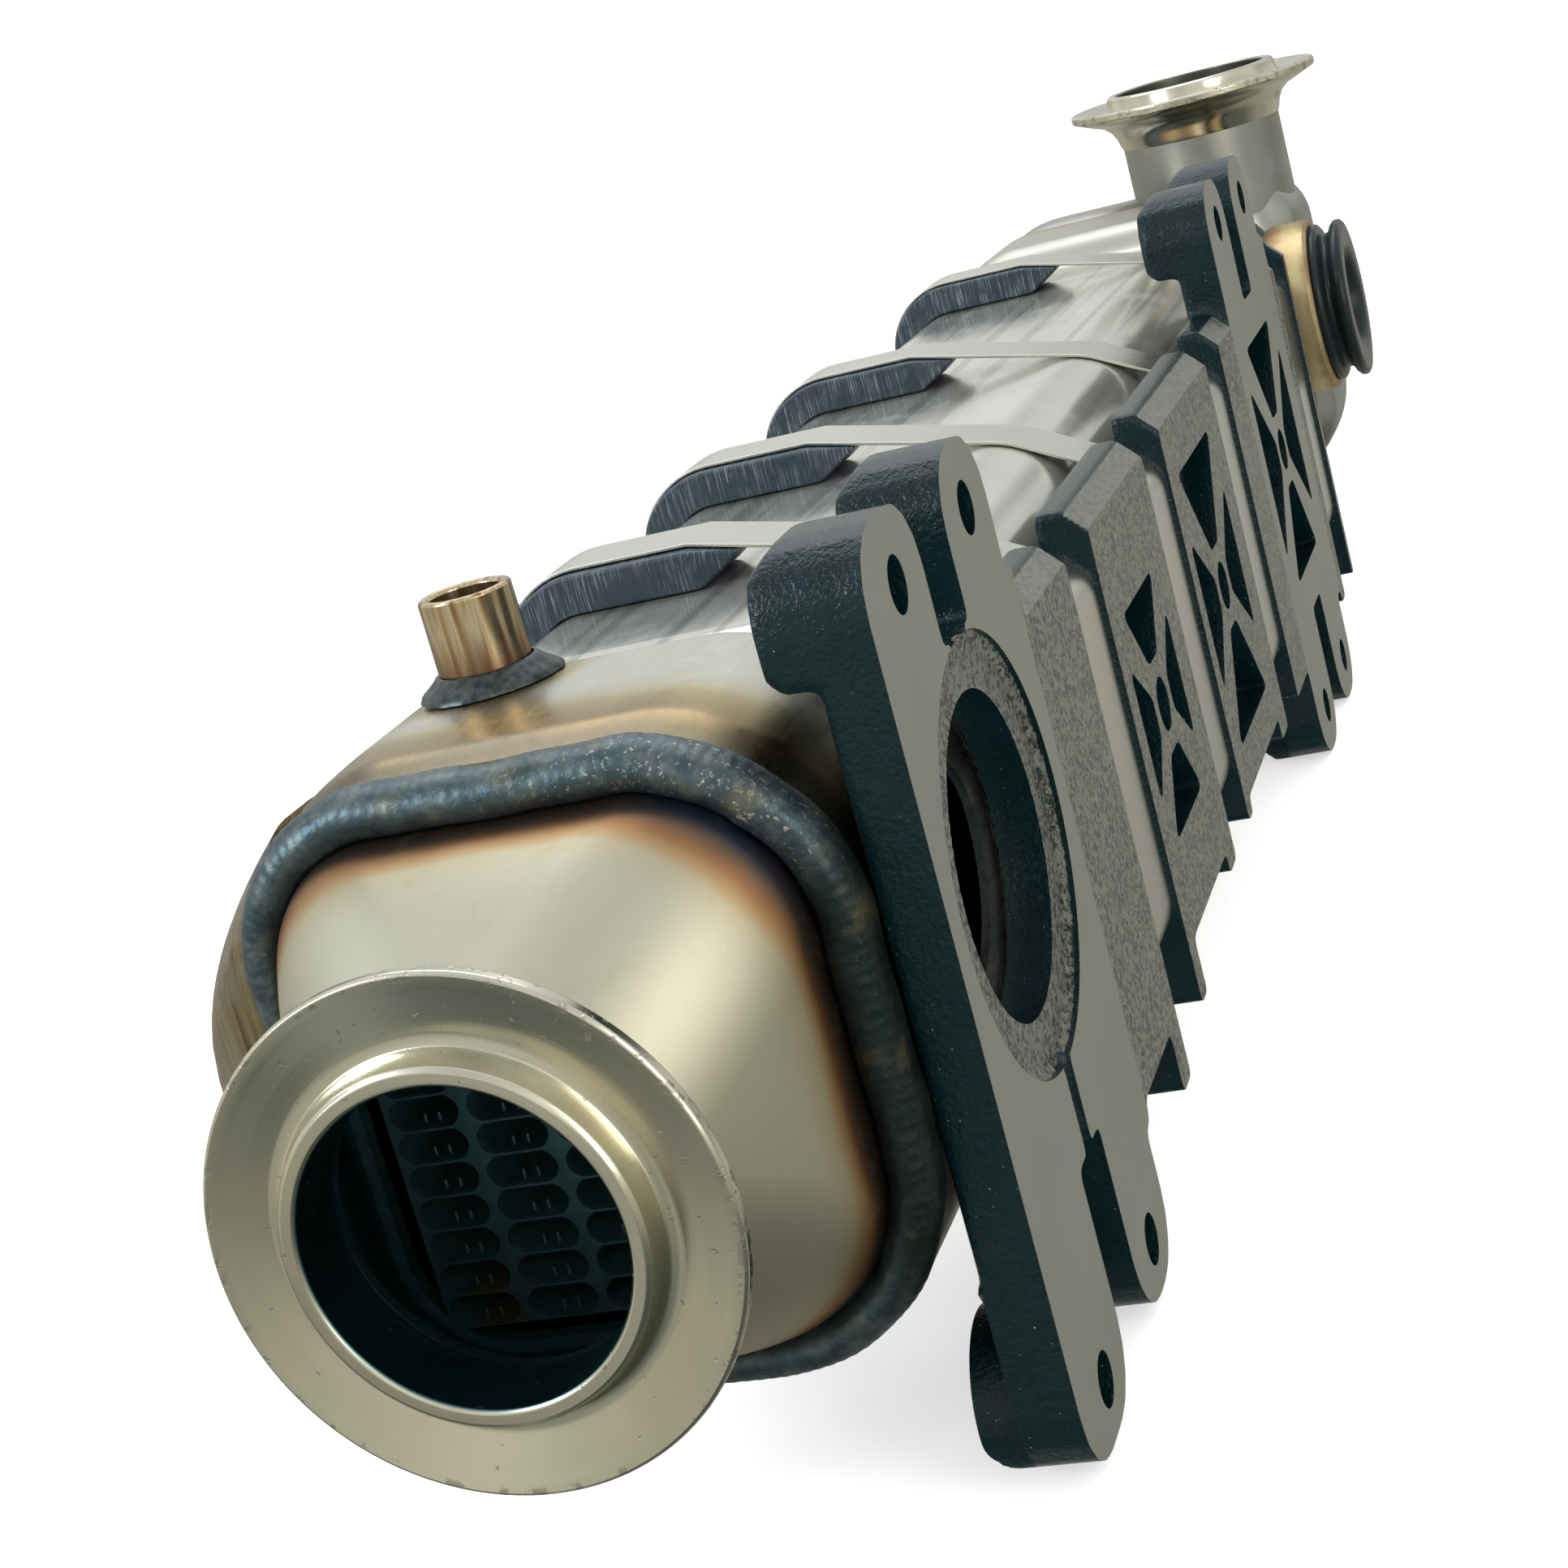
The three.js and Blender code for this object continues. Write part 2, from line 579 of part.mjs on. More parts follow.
function mountingBracket() {
  const rails = RAIL.map(([y0, y1, low]) =>
    toSolid(boxAt(BRACKET_BACK, 0, y0 - 0.5, y1 + 0.5, low, RAIL_TOP)));
  const casting = joined([...padBlocks(PADS.front), ...padBlocks(PADS.rear), ...rails]);
  const slots = Object.values(PADS).flatMap(({ ears, upperSlot, lowerSlot }) => {
    const [y0, y1] = [ears[0][1], ears[1][0]];
    return [boxAt(...CUT_X, y0, y1, upperSlot, 40), boxAt(...CUT_X, y0, y1, -220, lowerSlot)];
  });
  const holes = [...FRONT_HOLES_Y, ...REAR_HOLES_Y].flatMap((y) =>
    [0, -BOLT_ROW_DROP].map((z) => rodX(y, z, BOLT_HOLE_R, ...CUT_X, 16)));
  const port = [
    rodX(PORT.y, PORT.z, PORT.bore, ...CUT_X, 36),
    rodX(PORT.y, PORT.z, PORT.recess, -PORT.depth, CUT_X[1], 36),
    boxAt(-PORT.depth, CUT_X[1], ...DRAIN_Y, PADS.front.lowerSlot - 1, PORT.z - PORT.recess + 2),
  ];
  const railTops = RAIL_RUNS.map(([y0, y1]) => topChamfer(y0, y1, RAIL_TOP));
  return cut(casting, ...slots, ...holes, ...port, ...railTops,
    ...STRAP_Y.flatMap(strapGroove), ...LATTICES.flatMap(latticePockets));
}

// ---------------------------------------------------------------- straps and pads

// The tangent from a point to a circle, touching it on the upper side.
function tangentAngle(from, centre, r) {
  const reach = from.distanceTo(centre);
  const towards = Math.atan2(from.y - centre.y, from.x - centre.x);
  const open = Math.acos(r / reach);
  const side = from.x < centre.x ? -1 : 1;
  return THREE.MathUtils.radToDeg(towards + side * open);
}

// Inside face of a strap, clockwise from the left end of the pad's flat top; off moves it outwards.
function strapLoop(off) {
  const clear = GAP + off;
  const outer = PAD_THICK + GAP;
  const left = SHELL.left + outer + clear;
  const shoulder = new THREE.Vector2(SHELL.x1 - SHELL.right, SHELL.z1 - SHELL.right);
  const bend = SHELL.right + clear;
  const padEnd = new THREE.Vector2(PAD_FLAT_END, SHELL.z1 + outer + clear);
  const edge = new THREE.Vector2(-9 + 0.46 * clear, GROOVE_TOP + 0.6 + 0.89 * clear);
  const into = tangentAngle(padEnd, shoulder, bend);
  const outOf = tangentAngle(edge, shoulder, bend);
  const face = GROOVE_FLOOR + clear;
  const low = SHELL.z0 - outer - clear;
  return [
    ...arc(SHELL.x0 + SHELL.left, SHELL.z1 - SHELL.left, left, 180, 90, 4),
    padEnd,
    ...arc(shoulder.x, shoulder.y, bend, into, outOf, 2),
    edge,
    new THREE.Vector2(face, GROOVE_TOP - 5.7),
    new THREE.Vector2(face, GROOVE_BOTTOM + 4.8),
    new THREE.Vector2(-7.5 + 0.4 * clear, GROOVE_BOTTOM - 0.9 * clear),
    new THREE.Vector2(PAD_FLAT_END, low),
    ...arc(SHELL.x0 + SHELL.left, SHELL.z0 + SHELL.left, left, 270, 180, 4),
  ];
}

const strap = (y) =>
  extrudeY(shapeOf(strapLoop(STRAP_THICK).reverse(), [strapLoop(0)]), y, y + STRAP_WIDTH);

// A C of hard rubber between strap and shell, with its ends cut to a wedge.
function strapPad(y) {
  const cx = SHELL.x0 + SHELL.left;
  const top = SHELL.z1 - SHELL.left;
  const low = SHELL.z0 + SHELL.left;
  const inner = SHELL.left + GAP;
  const outer = inner + PAD_THICK;
  const drop = PAD_WEDGE_SLOPE * (PAD_TIP - PAD_FLAT_END);
  const outline = [
    ...[[PAD_TIP, top + outer - drop], [PAD_FLAT_END, top + outer]].map((p) => new THREE.Vector2(...p)),
    ...arc(cx, top, outer, 90, 180, 4),
    ...arc(cx, low, outer, 180, 270, 4),
    new THREE.Vector2(PAD_FLAT_END, low - outer),
    new THREE.Vector2(PAD_FLAT_END + 3, low - inner),
    ...arc(cx, low, inner, 270, 180, CORNER_STEPS),
    ...arc(cx, top, inner, 180, 90, CORNER_STEPS),
    new THREE.Vector2(PAD_FLAT_END + 3, top + inner),
  ];
  return extrudeY(shapeOf(outline), y - PAD_OVERHANG, y + STRAP_WIDTH + PAD_OVERHANG);
}

// ---------------------------------------------------------------- assembly

const cooler = new THREE.Group();

function add(name, geometry, look) {
  const mesh = new THREE.Mesh(geometry, look);
  mesh.name = name;
  cooler.add(mesh);
}

add('gas_inlet_flange', gasInletFlange(), LOOK.machined);
add('gas_inlet_cone', gasInletCone(), LOOK.blasted);
add('front_closing_weld', closingBead(JOINT_Y.front, 1), LOOK.weld);
add('front_tube_plate', tubePlate(CONE_END_Y + GAP, CONE_END_Y + 4.3), LOOK.core);
allRows.forEach((row) => add(`gas_tube_${String(row + 1).padStart(2, '0')}`, gasTube(row), LOOK.core));
BAFFLE_Y.forEach((y, index) => add(`baffle_${index + 1}`, baffle(index), LOOK.core));
add('rear_tube_plate', tubePlate(JOINT_Y.rear - 3.8, JOINT_Y.rear + 1.2), LOOK.core);
add('front_coolant_tank', frontTank(), LOOK.tinted);
add('core_shell', coreShell(), LOOK.polished);
add('rear_coolant_tank', rearTank(), LOOK.polished);
add('rear_closing_weld', closingBead(JOINT_Y.rear, -1), LOOK.weld);
add('gas_outlet_hood', gasOutletHood(), LOOK.blasted);
add('gas_outlet_tube', gasOutletTube(), LOOK.polished);
add('gas_outlet_flange', gasOutletFlange(), LOOK.machined);
add('coolant_blister', coolantBlister(), LOOK.tinted);
add('vent_nipple', ventNipple(), LOOK.tinted);
add('vent_nipple_weld', ventNippleWeld(), LOOK.weld);
add('coolant_inlet_cup', coolantInletCup(), LOOK.tinted);
add('coolant_inlet_seal', coolantInletSeal(), LOOK.seal);
add('mounting_bracket', mountingBracket(), LOOK.casting);
STRAP_Y.forEach((y, index) => {
  add(`strap_pad_${index + 1}`, strapPad(y), LOOK.pad);
  add(`strap_${index + 1}`, strap(y), LOOK.strap);
});

cooler.position.z = ORIGIN_BELOW_HOLE;
const part = new THREE.Group();
part.add(cooler);

export default part;
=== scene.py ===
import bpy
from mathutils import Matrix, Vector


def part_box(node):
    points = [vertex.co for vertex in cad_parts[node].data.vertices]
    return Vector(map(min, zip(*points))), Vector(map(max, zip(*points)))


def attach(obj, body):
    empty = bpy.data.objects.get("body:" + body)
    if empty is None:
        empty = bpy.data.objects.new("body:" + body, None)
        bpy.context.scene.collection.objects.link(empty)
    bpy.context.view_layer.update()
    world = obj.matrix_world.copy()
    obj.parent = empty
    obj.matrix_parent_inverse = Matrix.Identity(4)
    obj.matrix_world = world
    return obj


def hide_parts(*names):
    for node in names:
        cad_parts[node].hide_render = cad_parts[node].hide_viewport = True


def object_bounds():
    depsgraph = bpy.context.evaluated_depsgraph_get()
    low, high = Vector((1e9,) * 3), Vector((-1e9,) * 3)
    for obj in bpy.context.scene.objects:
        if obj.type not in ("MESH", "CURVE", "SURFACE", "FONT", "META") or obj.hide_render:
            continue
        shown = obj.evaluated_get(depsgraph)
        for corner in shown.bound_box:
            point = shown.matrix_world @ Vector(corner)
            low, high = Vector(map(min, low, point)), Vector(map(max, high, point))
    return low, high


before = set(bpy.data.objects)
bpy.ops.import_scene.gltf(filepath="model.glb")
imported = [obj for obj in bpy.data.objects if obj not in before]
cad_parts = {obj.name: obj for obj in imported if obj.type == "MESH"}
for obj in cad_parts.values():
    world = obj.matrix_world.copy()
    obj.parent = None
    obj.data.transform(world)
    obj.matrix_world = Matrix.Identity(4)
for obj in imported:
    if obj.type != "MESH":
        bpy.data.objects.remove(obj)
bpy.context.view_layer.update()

# ------------------------------------------------------------------ camera
# A short telephoto held a little above the hot end of the cooler, looking down its length with a
# slight roll, so that the inlet flange fills the lower left and the outlet stands at the top right.
import math

import bmesh
import bpy
import numpy as np
from mathutils import Matrix, Vector


def placed(name, data):
    """A new object in the scene."""
    made = bpy.data.objects.new(name, data)
    bpy.context.scene.collection.objects.link(made)
    return made


lens = bpy.data.cameras.new("camera")
lens.sensor_width = 36.0
lens.lens = 67.8
lens.shift_x = 0.0062
lens.shift_y = -0.0045
lens.clip_start = 0.02
camera = placed("camera", lens)
camera_right = Vector((0.92820, 0.26719, -0.25896))
camera_up = Vector((0.16881, 0.31781, 0.93301))
camera_back = Vector((0.33158, -0.90973, 0.24989))
turn = Matrix((camera_right, camera_up, camera_back)).transposed()
camera.matrix_world = Matrix.Translation((0.1598, -0.5340, 0.1334)) @ turn.to_4x4()
bpy.context.scene.camera = camera
bpy.context.scene.view_settings.view_transform = "Standard"


# ------------------------------------------------------------------ floor and light
# A pale sweep of painted board under and behind the part, lit so evenly that it stays near white.
# The metal mirrors three soft boxes and two unlike walls, one with a doorway and one with a pillar.
class Wire:
    """One socket of a finish. Arithmetic on wires adds the Math nodes for it."""

    def __init__(self, finish, socket):
        self.finish = finish
        self.socket = socket

    def sum_with(self, operation, first, second):
        return self.finish.node("Math", {"operation": operation}, {0: first, 1: second})

    def __add__(self, other):
        return self.sum_with("ADD", self, other)

    __radd__ = __add__

    def __sub__(self, other):
        return self.sum_with("SUBTRACT", self, other)

    def __rsub__(self, other):
        return self.sum_with("SUBTRACT", other, self)

    def __mul__(self, other):
        return self.sum_with("MULTIPLY", self, other)

    __rmul__ = __mul__

    def __pow__(self, other):
        return self.sum_with("POWER", self, other)


class Finish:
    """A material, or the world's light, and the one way in which its nodes are added."""

    def __init__(self, owner, shader):
        owner.use_nodes = True
        self.owner = owner
        self.tree = owner.node_tree
        self.tree.nodes.clear()
        self.shader = self.tree.nodes.new("ShaderNode" + shader)
        world = isinstance(owner, bpy.types.World)
        end = self.tree.nodes.new("ShaderNodeOutput" + ("World" if world else "Material"))
        self.tree.links.new(self.shader.outputs[0], end.inputs["Surface"])

    def feed(self, node, sockets):
        for key, value in sockets.items():
            if isinstance(value, Wire):
                self.tree.links.new(value.socket, node.inputs[key])
            else:
                node.inputs[key].default_value = value

    def node(self, kind, settings=None, sockets=None, out=0):
        made = self.tree.nodes.new("ShaderNode" + kind)
        for key, value in (settings or {}).items():
            if key == "stops":
                ramp = made.color_ramp
                while len(ramp.elements) < len(value):
                    ramp.elements.new(1.0)
                for element, (place, colour) in zip(ramp.elements, value):
                    element.position = place
                    element.color = (*colour, 1.0)
            else:
                setattr(made, key, value)
        self.feed(made, sockets or {})
        return Wire(self, made.outputs[out])

    def parts_of(self, vector):
        return [self.node("SeparateXYZ", {}, {0: vector}, out=k) for k in range(3)]

    def step(self, value, low, high):
        """0 below low, 1 above high and a soft change between them."""
        ends = {"Value": value, "From Min": low, "From Max": high}
        return self.node("MapRange", {"interpolation_type": "SMOOTHSTEP"}, ends)

    def ramp(self, value, stops):
        return self.node("ValToRGB", {"stops": stops}, {0: value})

    def mix(self, share, first, second):
        """Colour first where share is 0 and second where it is 1."""
        ends = [(*c, 1.0) if isinstance(c, tuple) else c for c in (first, second)]
        return self.node("Mix", {"data_type": "RGBA"}, {0: share, 6: ends[0], 7: ends[1]}, out=2)


room = Finish(bpy.data.worlds.new("room"), "Background")
bpy.context.scene.world = room.owner
across, along, height = room.parts_of(room.node("TexCoord"))
level = height * 0.5 + 0.5
near_wall = room.ramp(level, [
    (0.00, (0.07, 0.08, 0.07)), (0.20, (0.11, 0.13, 0.12)), (0.28, (0.22, 0.23, 0.20)),
    (0.35, (0.46, 0.45, 0.38)), (0.45, (0.62, 0.61, 0.54)), (0.58, (0.78, 0.78, 0.72)),
    (0.95, (0.84, 0.87, 0.90))])
far_wall = room.ramp(level, [
    (0.00, (0.30, 0.29, 0.25)), (0.30, (0.42, 0.41, 0.36)), (0.40, (0.48, 0.47, 0.42)),
    (0.49, (0.42, 0.42, 0.39)), (0.54, (0.60, 0.61, 0.58)), (0.60, (0.72, 0.73, 0.72)),
    (0.80, (0.82, 0.85, 0.87))])
clutter = room.node("TexNoise", {}, {"Scale": 3.2, "Detail": 2.0})
doorway = room.step(across, -0.45, -0.41) * (1.0 - room.step(across, -0.36, -0.32))
near_wall = room.mix(doorway * 0.45, near_wall, (0.75, 0.80, 0.80))
pillar = room.step(across, 0.06, 0.10) * (1.0 - room.step(across, 0.15, 0.18)) * room.step(
    height, 0.02, 0.10) * (1.0 - room.step(height, 0.22, 0.32))
far_wall = room.mix(pillar * 0.9, far_wall, (0.10, 0.10, 0.09))
walls = room.mix(room.step(along, -0.3, 0.5), near_wall, far_wall)
room.feed(room.shader, {"Color": walls, "Strength": 0.25 + 1.5 * clutter})

FLOOR_REACH, SWEEP_START, SWEEP_BEND = 16.0, 2.2, 1.6
floor_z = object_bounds()[0].z - 0.0005
profile = [(-FLOOR_REACH, 0.0), (SWEEP_START, 0.0)]
for a in np.linspace(0.1, 1.5, 14):
    profile.append((SWEEP_START + SWEEP_BEND * math.sin(a), SWEEP_BEND - SWEEP_BEND * math.cos(a)))
profile.append((3.82, 4.5))
sweep = bpy.data.meshes.new("floor")
sweep.from_pydata(
    [(x, y, floor_z + z) for y, z in profile for x in (-FLOOR_REACH, FLOOR_REACH)], [],
    [(2 * i, 2 * i + 1, 2 * i + 3, 2 * i + 2) for i in range(len(profile) - 1)])
sweep.shade_smooth()
floor = placed("floor", sweep)
floor.visible_glossy = False
board = Finish(bpy.data.materials.new("pale_board"), "BsdfPrincipled")
grain = board.node("TexNoise", {}, {"Scale": 3.0, "Detail": 2.0})
board.feed(board.shader, {
    "Base Color": board.ramp(grain, [(0.3, (0.90, 0.90, 0.89)), (0.7, (0.93, 0.93, 0.92))]),
    "Roughness": 0.8, "Emission Color": (1.0, 1.0, 1.0, 1.0), "Emission Strength": 0.55})
sweep.materials.append(board.owner)


def softbox(name, place, target, width, length, power, colour):
    lamp = bpy.data.lights.new(name, "AREA")
    lamp.shape = "RECTANGLE"
    lamp.size = width
    lamp.size_y = length
    lamp.energy = power
    lamp.color = colour
    box = placed(name, lamp)
    box.location = place
    box.rotation_euler = (Vector(target) - Vector(place)).to_track_quat("-Z", "Y").to_euler()


softbox("overhead_box", (-0.4, 1.1, 1.5), (-0.08, 0.25, 0.0), 1.3, 1.2, 10.0, (0.92, 0.96, 1.0))
softbox("window_box", (-1.3, -0.9, 0.9), (-0.08, 0.1, 0.0), 0.35, 0.8, 17.0, (0.78, 0.90, 1.0))
softbox("right_box", (1.1, -0.7, 0.5), (-0.03, 0.2, -0.05), 0.6, 0.9, 6.0, (1.0, 0.97, 0.90))

# ------------------------------------------------------------------ gas inlet flange
# The hot end's clamp flange: a machined ring of stainless steel with a raised lip round the bore, a
# dished face and a thin rim, turned in a lathe and welded to the cone.


def span(node):
    """A CAD node's lowest and highest corner, in millimetres."""
    return tuple(np.array(corner) * 1000 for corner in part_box(node))


def piece_of(name, points, faces, crisp=30.0):
    """A smooth-shaded piece from points in millimetres, with its sharper edges kept."""
    mesh = bpy.data.meshes.new(name)
    mesh.from_pydata([tuple(p) for p in np.array(points) / 1000], [], faces)
    shape = bmesh.new()
    shape.from_mesh(mesh)
    bmesh.ops.remove_doubles(shape, verts=shape.verts, dist=1e-6)
    bmesh.ops.recalc_face_normals(shape, faces=shape.faces)
    shape.to_mesh(mesh)
    shape.free()
    mesh.shade_smooth()
    mesh.set_sharp_from_angle(angle=math.radians(crisp))
    return placed(name, mesh)


def quads(rows, count, looped=False, start=0):
    """Faces between rows of points. Each row is closed, and looped joins the last to the first."""
    return [
        tuple(start + v for v in (
            s * count + i, s * count + (i + 1) % count,
            (s + 1) % rows * count + (i + 1) % count, (s + 1) % rows * count + i))
        for s in range(rows if looped else rows - 1) for i in range(count)]


def turned(name, outline, centre, axis, segments=160, crisp=30.0):
    """A closed outline of (radius, height) turned about X, Y or Z through centre."""
    angles = np.linspace(0, 2 * math.pi, segments, endpoint=False)
    order = {"X": (2, 0, 1), "Y": (0, 2, 1), "Z": (0, 1, 2)}[axis]
    points = []
    for a in angles:
        for r, h in outline:
            here = (r * math.cos(a), r * math.sin(a), h)
            points.append([centre[k] + here[order[k]] for k in range(3)])
    return piece_of(name, points, quads(segments, len(outline), looped=True), crisp)


def eased(piece, width, segments=3, angle=28.0):
    """Breaks the sharp edges of a piece, width in millimetres."""
    bevel = piece.modifiers.new("broken_edges", "BEVEL")
    bevel.width = width / 1000
    bevel.segments = segments
    bevel.limit_method = "ANGLE"
    bevel.angle_limit = math.radians(angle)
    bevel.harden_normals = True
    return piece


def fitted(piece, finish, slot, *nodes):
    """Gives a piece its finish and puts it in the place of its CAD nodes."""
    piece.data.materials.clear()
    piece.data.materials.append(finish.owner)
    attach(piece, "root")
    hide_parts(*nodes)
    return piece


class Surface(Finish):
    """A finish of the object. Its patterns are measured in millimetres of the shared frame."""

    def __init__(self, name):
        super().__init__(bpy.data.materials.new(name), "BsdfPrincipled")
        place = self.node("TexCoord", out=3)
        self.mm = self.node("VectorMath", {"operation": "SCALE"}, {0: place, "Scale": 1000.0})
        self.x, self.y, self.z = self.parts_of(self.mm)

    def stretched(self, x, y, z, turn=(0.0, 0.0, 0.0)):
        return self.node("Mapping", {}, {"Vector": self.mm, "Rotation": turn, "Scale": (x, y, z)})

    def noise(self, scale, detail=3.0, rough=0.5, at=None, shift=0.0):
        here = {"Vector": at or self.mm, "W": shift}
        settings = {"noise_dimensions": "4D"}
        return self.node("TexNoise", settings, {
            **here, "Scale": scale, "Detail": detail, "Roughness": rough})

    def drawn_out(self, x, y, z, detail=3.0, rough=0.5):
        """Streaks that run along the axis with the smallest number."""
        return self.node("TexNoise", {}, {
            "Vector": self.stretched(x, y, z), "Scale": 1.0, "Detail": detail, "Roughness": rough})

    def rings(self, radius, scale, detail):
        """Tool marks that follow the radius."""
        return self.node("TexNoise", {"noise_dimensions": "1D"}, {
            "W": radius, "Scale": scale, "Detail": detail})

    def away_from(self, first, second, centre):
        """Distance in millimetres from an axis that crosses the plane of two coordinates."""
        across, up = first - centre[0], second - centre[1]
        return (across * across + up * up) ** 0.5

    def facing(self, axis):
        return self.parts_of(self.node("NewGeometry", out=1))["XYZ".index(axis)]

    def finish(self, colour, roughness, metallic=1.0, bump=None, **constants):
        """Joins what was worked out to the shader. A bump is a height in millimetres."""
        ends = {"Base Color": colour, "Roughness": roughness, "Metallic": metallic}
        if bump is not None:
            heights = {"Height": bump, "Strength": 1.0, "Distance": 0.001}
            ends["Normal"] = self.node("Bump", {}, heights)
        named = {key.replace("_", " "): value for key, value in constants.items()}
        self.feed(self.shader, {**ends, **named})
        return self


STEEL = (0.60, 0.58, 0.47)
WARM_STEEL = (0.67, 0.63, 0.49)
NICKED = (0.16, 0.15, 0.12)
SOOTY = (0.05, 0.13, 0.145)
BORE = 31.6


def turned_steel(name, across, up, centre, inside):
    """Lathe-cut stainless: rings round the axis, a few shallow nicks and chips along the rim."""
    steel = Surface(name)
    radius = steel.away_from(getattr(steel, across), getattr(steel, up), centre)
    rings = steel.rings(radius, 4.2, 3.0)
    broad = steel.rings(radius, 0.35, 1.0)
    cloud = steel.noise(0.035, 2.0)
    nicks = steel.step(steel.noise(0.55, 2.0, shift=3.0), 0.69, 0.73)
    chips = steel.step(steel.noise(0.30, 3.0, 0.6, shift=6.0), 0.55, 0.60) * steel.step(
        radius, 49.6, 50.8)
    nicks = nicks + chips
    tone = steel.mix(steel.step(cloud, 0.35, 0.7), STEEL, WARM_STEEL)
    bore = 1.0 - steel.step(radius, BORE + 0.15, BORE + 0.5)
    return steel.finish(
        steel.mix(bore, steel.mix(nicks * 0.5, tone, NICKED), inside),
        0.14 + 0.12 * cloud + 0.14 * (rings - 0.5) + 0.25 * nicks + 0.15 * bore,
        bump=0.005 * rings + 0.03 * broad - 0.03 * nicks, Coat_Weight=0.0)


LIP_HEIGHT = 4.0
LIP_FACE_AND_RIM = [
    (BORE, -3.3), (BORE + 0.7, -LIP_HEIGHT), (BORE + 3.0, -LIP_HEIGHT), (BORE + 3.9, -3.2),
    (BORE + 4.6, 0.4), (BORE + 5.4, 2.1), (BORE + 7.4, 2.5), (40.0, 2.29), (49.2, 0.37),
    (50.0, 0.2), (51.2, 0.0), (51.8, 0.7), (51.8, 3.0), (51.2, 3.6)]
BACK_AND_WELDS = [
    (43.2, 7.3), (BORE + 4.6, 9.2), (BORE + 3.0, 10.4), (BORE + 2.8, 11.4), (BORE + 3.3, 12.4),
    (BORE + 3.0, 13.6), (BORE + 2.3, 14.2), (BORE + 2.25, 12.2), (BORE - 0.02, 12.2),
    (BORE - 0.02, 13.2), (BORE - 0.2, 12.8), (BORE - 0.3, 12.0), (BORE - 0.2, 11.0), (BORE, 10.2)]

low, high = span("gas_inlet_flange")
inlet = ((low[0] + high[0]) / 2, low[1] + LIP_HEIGHT, (low[2] + high[2]) / 2)
flange_line = LIP_FACE_AND_RIM + BACK_AND_WELDS
flange = eased(turned("gas_inlet_clamp_flange", flange_line, inlet, "Y", 192), 0.3)
flange_steel = turned_steel("turned_steel_inlet", "x", "z", (inlet[0], inlet[2]), SOOTY)
fitted(flange, flange_steel, "machined_steel", "gas_inlet_flange")

# ------------------------------------------------------------------ gas inlet cone
# Pressed stainless sheet that changes from the round flange to the rounded square of the core. Its
# blasted skin is beige and turns gold, brown and blue where the closing weld heated it.


def rounded(x0, x1, z0, z1, left, right, steps=16, side=1):
    """Rounded box in X and Z from the +X side round, side points along each straight run."""
    corners = [
        (x1 - right, z1 - right, right, 0), (x0 + left, z1 - left, left, 90),
        (x0 + left, z0 + left, left, 180), (x1 - right, z0 + right, right, 270)]
    bends = []
    for cx, cz, r, start in corners:
        angles = np.radians(start + np.linspace(0, 90, steps))
        bends.append(np.stack([cx + r * np.cos(angles), cz + r * np.sin(angles)], 1))
    line = []
    for k, bend in enumerate(bends):
        following = bends[(k + 1) % 4][0]
        shares = np.arange(1, side)[:, None] / side
        line += [bend, bend[-1] + (following - bend[-1]) * shares]
    return np.concatenate(line)


def at_y(outline, y):
    return np.insert(outline, 1, y, axis=1)


def skin(name, rings, looped=False, capped=False, crisp=30.0):
    """A surface through rings of equal count, closed on itself or capped if asked."""
    rings = np.array(rings)
    count, n = rings.shape[:2]
    faces = quads(count, n, looped)
    if capped:
        faces += [tuple(range(n)), tuple(range((count - 1) * n, count * n))]
    return piece_of(name, rings.reshape(-1, 3), faces, crisp)


def flowing(keys, values, fine):
    """Values between the keys, on curves that never swing past them."""
    keys, values = np.array(keys, float), np.array(values, float)
    gaps = np.diff(keys).reshape(-1, *[1] * (values.ndim - 1))
    slopes = np.diff(values, axis=0) / gaps
    inner = slopes[:-1] * slopes[1:]
    total = slopes[:-1] + slopes[1:]
    calm = np.where(inner > 0, 2 * inner / np.where(total == 0, 1, total), 0)
    tangents = np.concatenate([slopes[:1], calm, slopes[-1:]])
    found = []
    for y in fine:
        k = int(np.clip(np.searchsorted(keys, y) - 1, 0, len(keys) - 2))
        gap = keys[k + 1] - keys[k]
        t = (y - keys[k]) / gap
        found.append(
            values[k] * (2 * t**3 - 3 * t**2 + 1) + values[k + 1] * (3 * t**2 - 2 * t**3)
            + gap * (tangents[k] * (t**3 - 2 * t**2 + t) + tangents[k + 1] * (t**3 - t**2)))
    return found


def walled(piece, thickness):
    """Gives a sheet its wall, inwards from its outer face."""
    wall = piece.modifiers.new("sheet_wall", "SOLIDIFY")
    wall.thickness = thickness / 1000
    wall.offset = -1.0
    return piece


BEAD_PROUD = 1.8
MOUTH_INSET = 7.8
CONE_WALL = 2.2
NECK_RADIUS, FLARE_RADIUS = 33.8, 37.6
weld_low, weld_high = span("front_closing_weld")


def tank_end(inset, steps=16, side=1):
    """The outline of the tank's end, inset by so many millimetres."""
    by = inset + BEAD_PROUD
    return rounded(
        weld_low[0] + by, weld_high[0] - by, weld_low[2] + by, weld_high[2] - by,
        34 - inset, 42 - inset, steps, side)


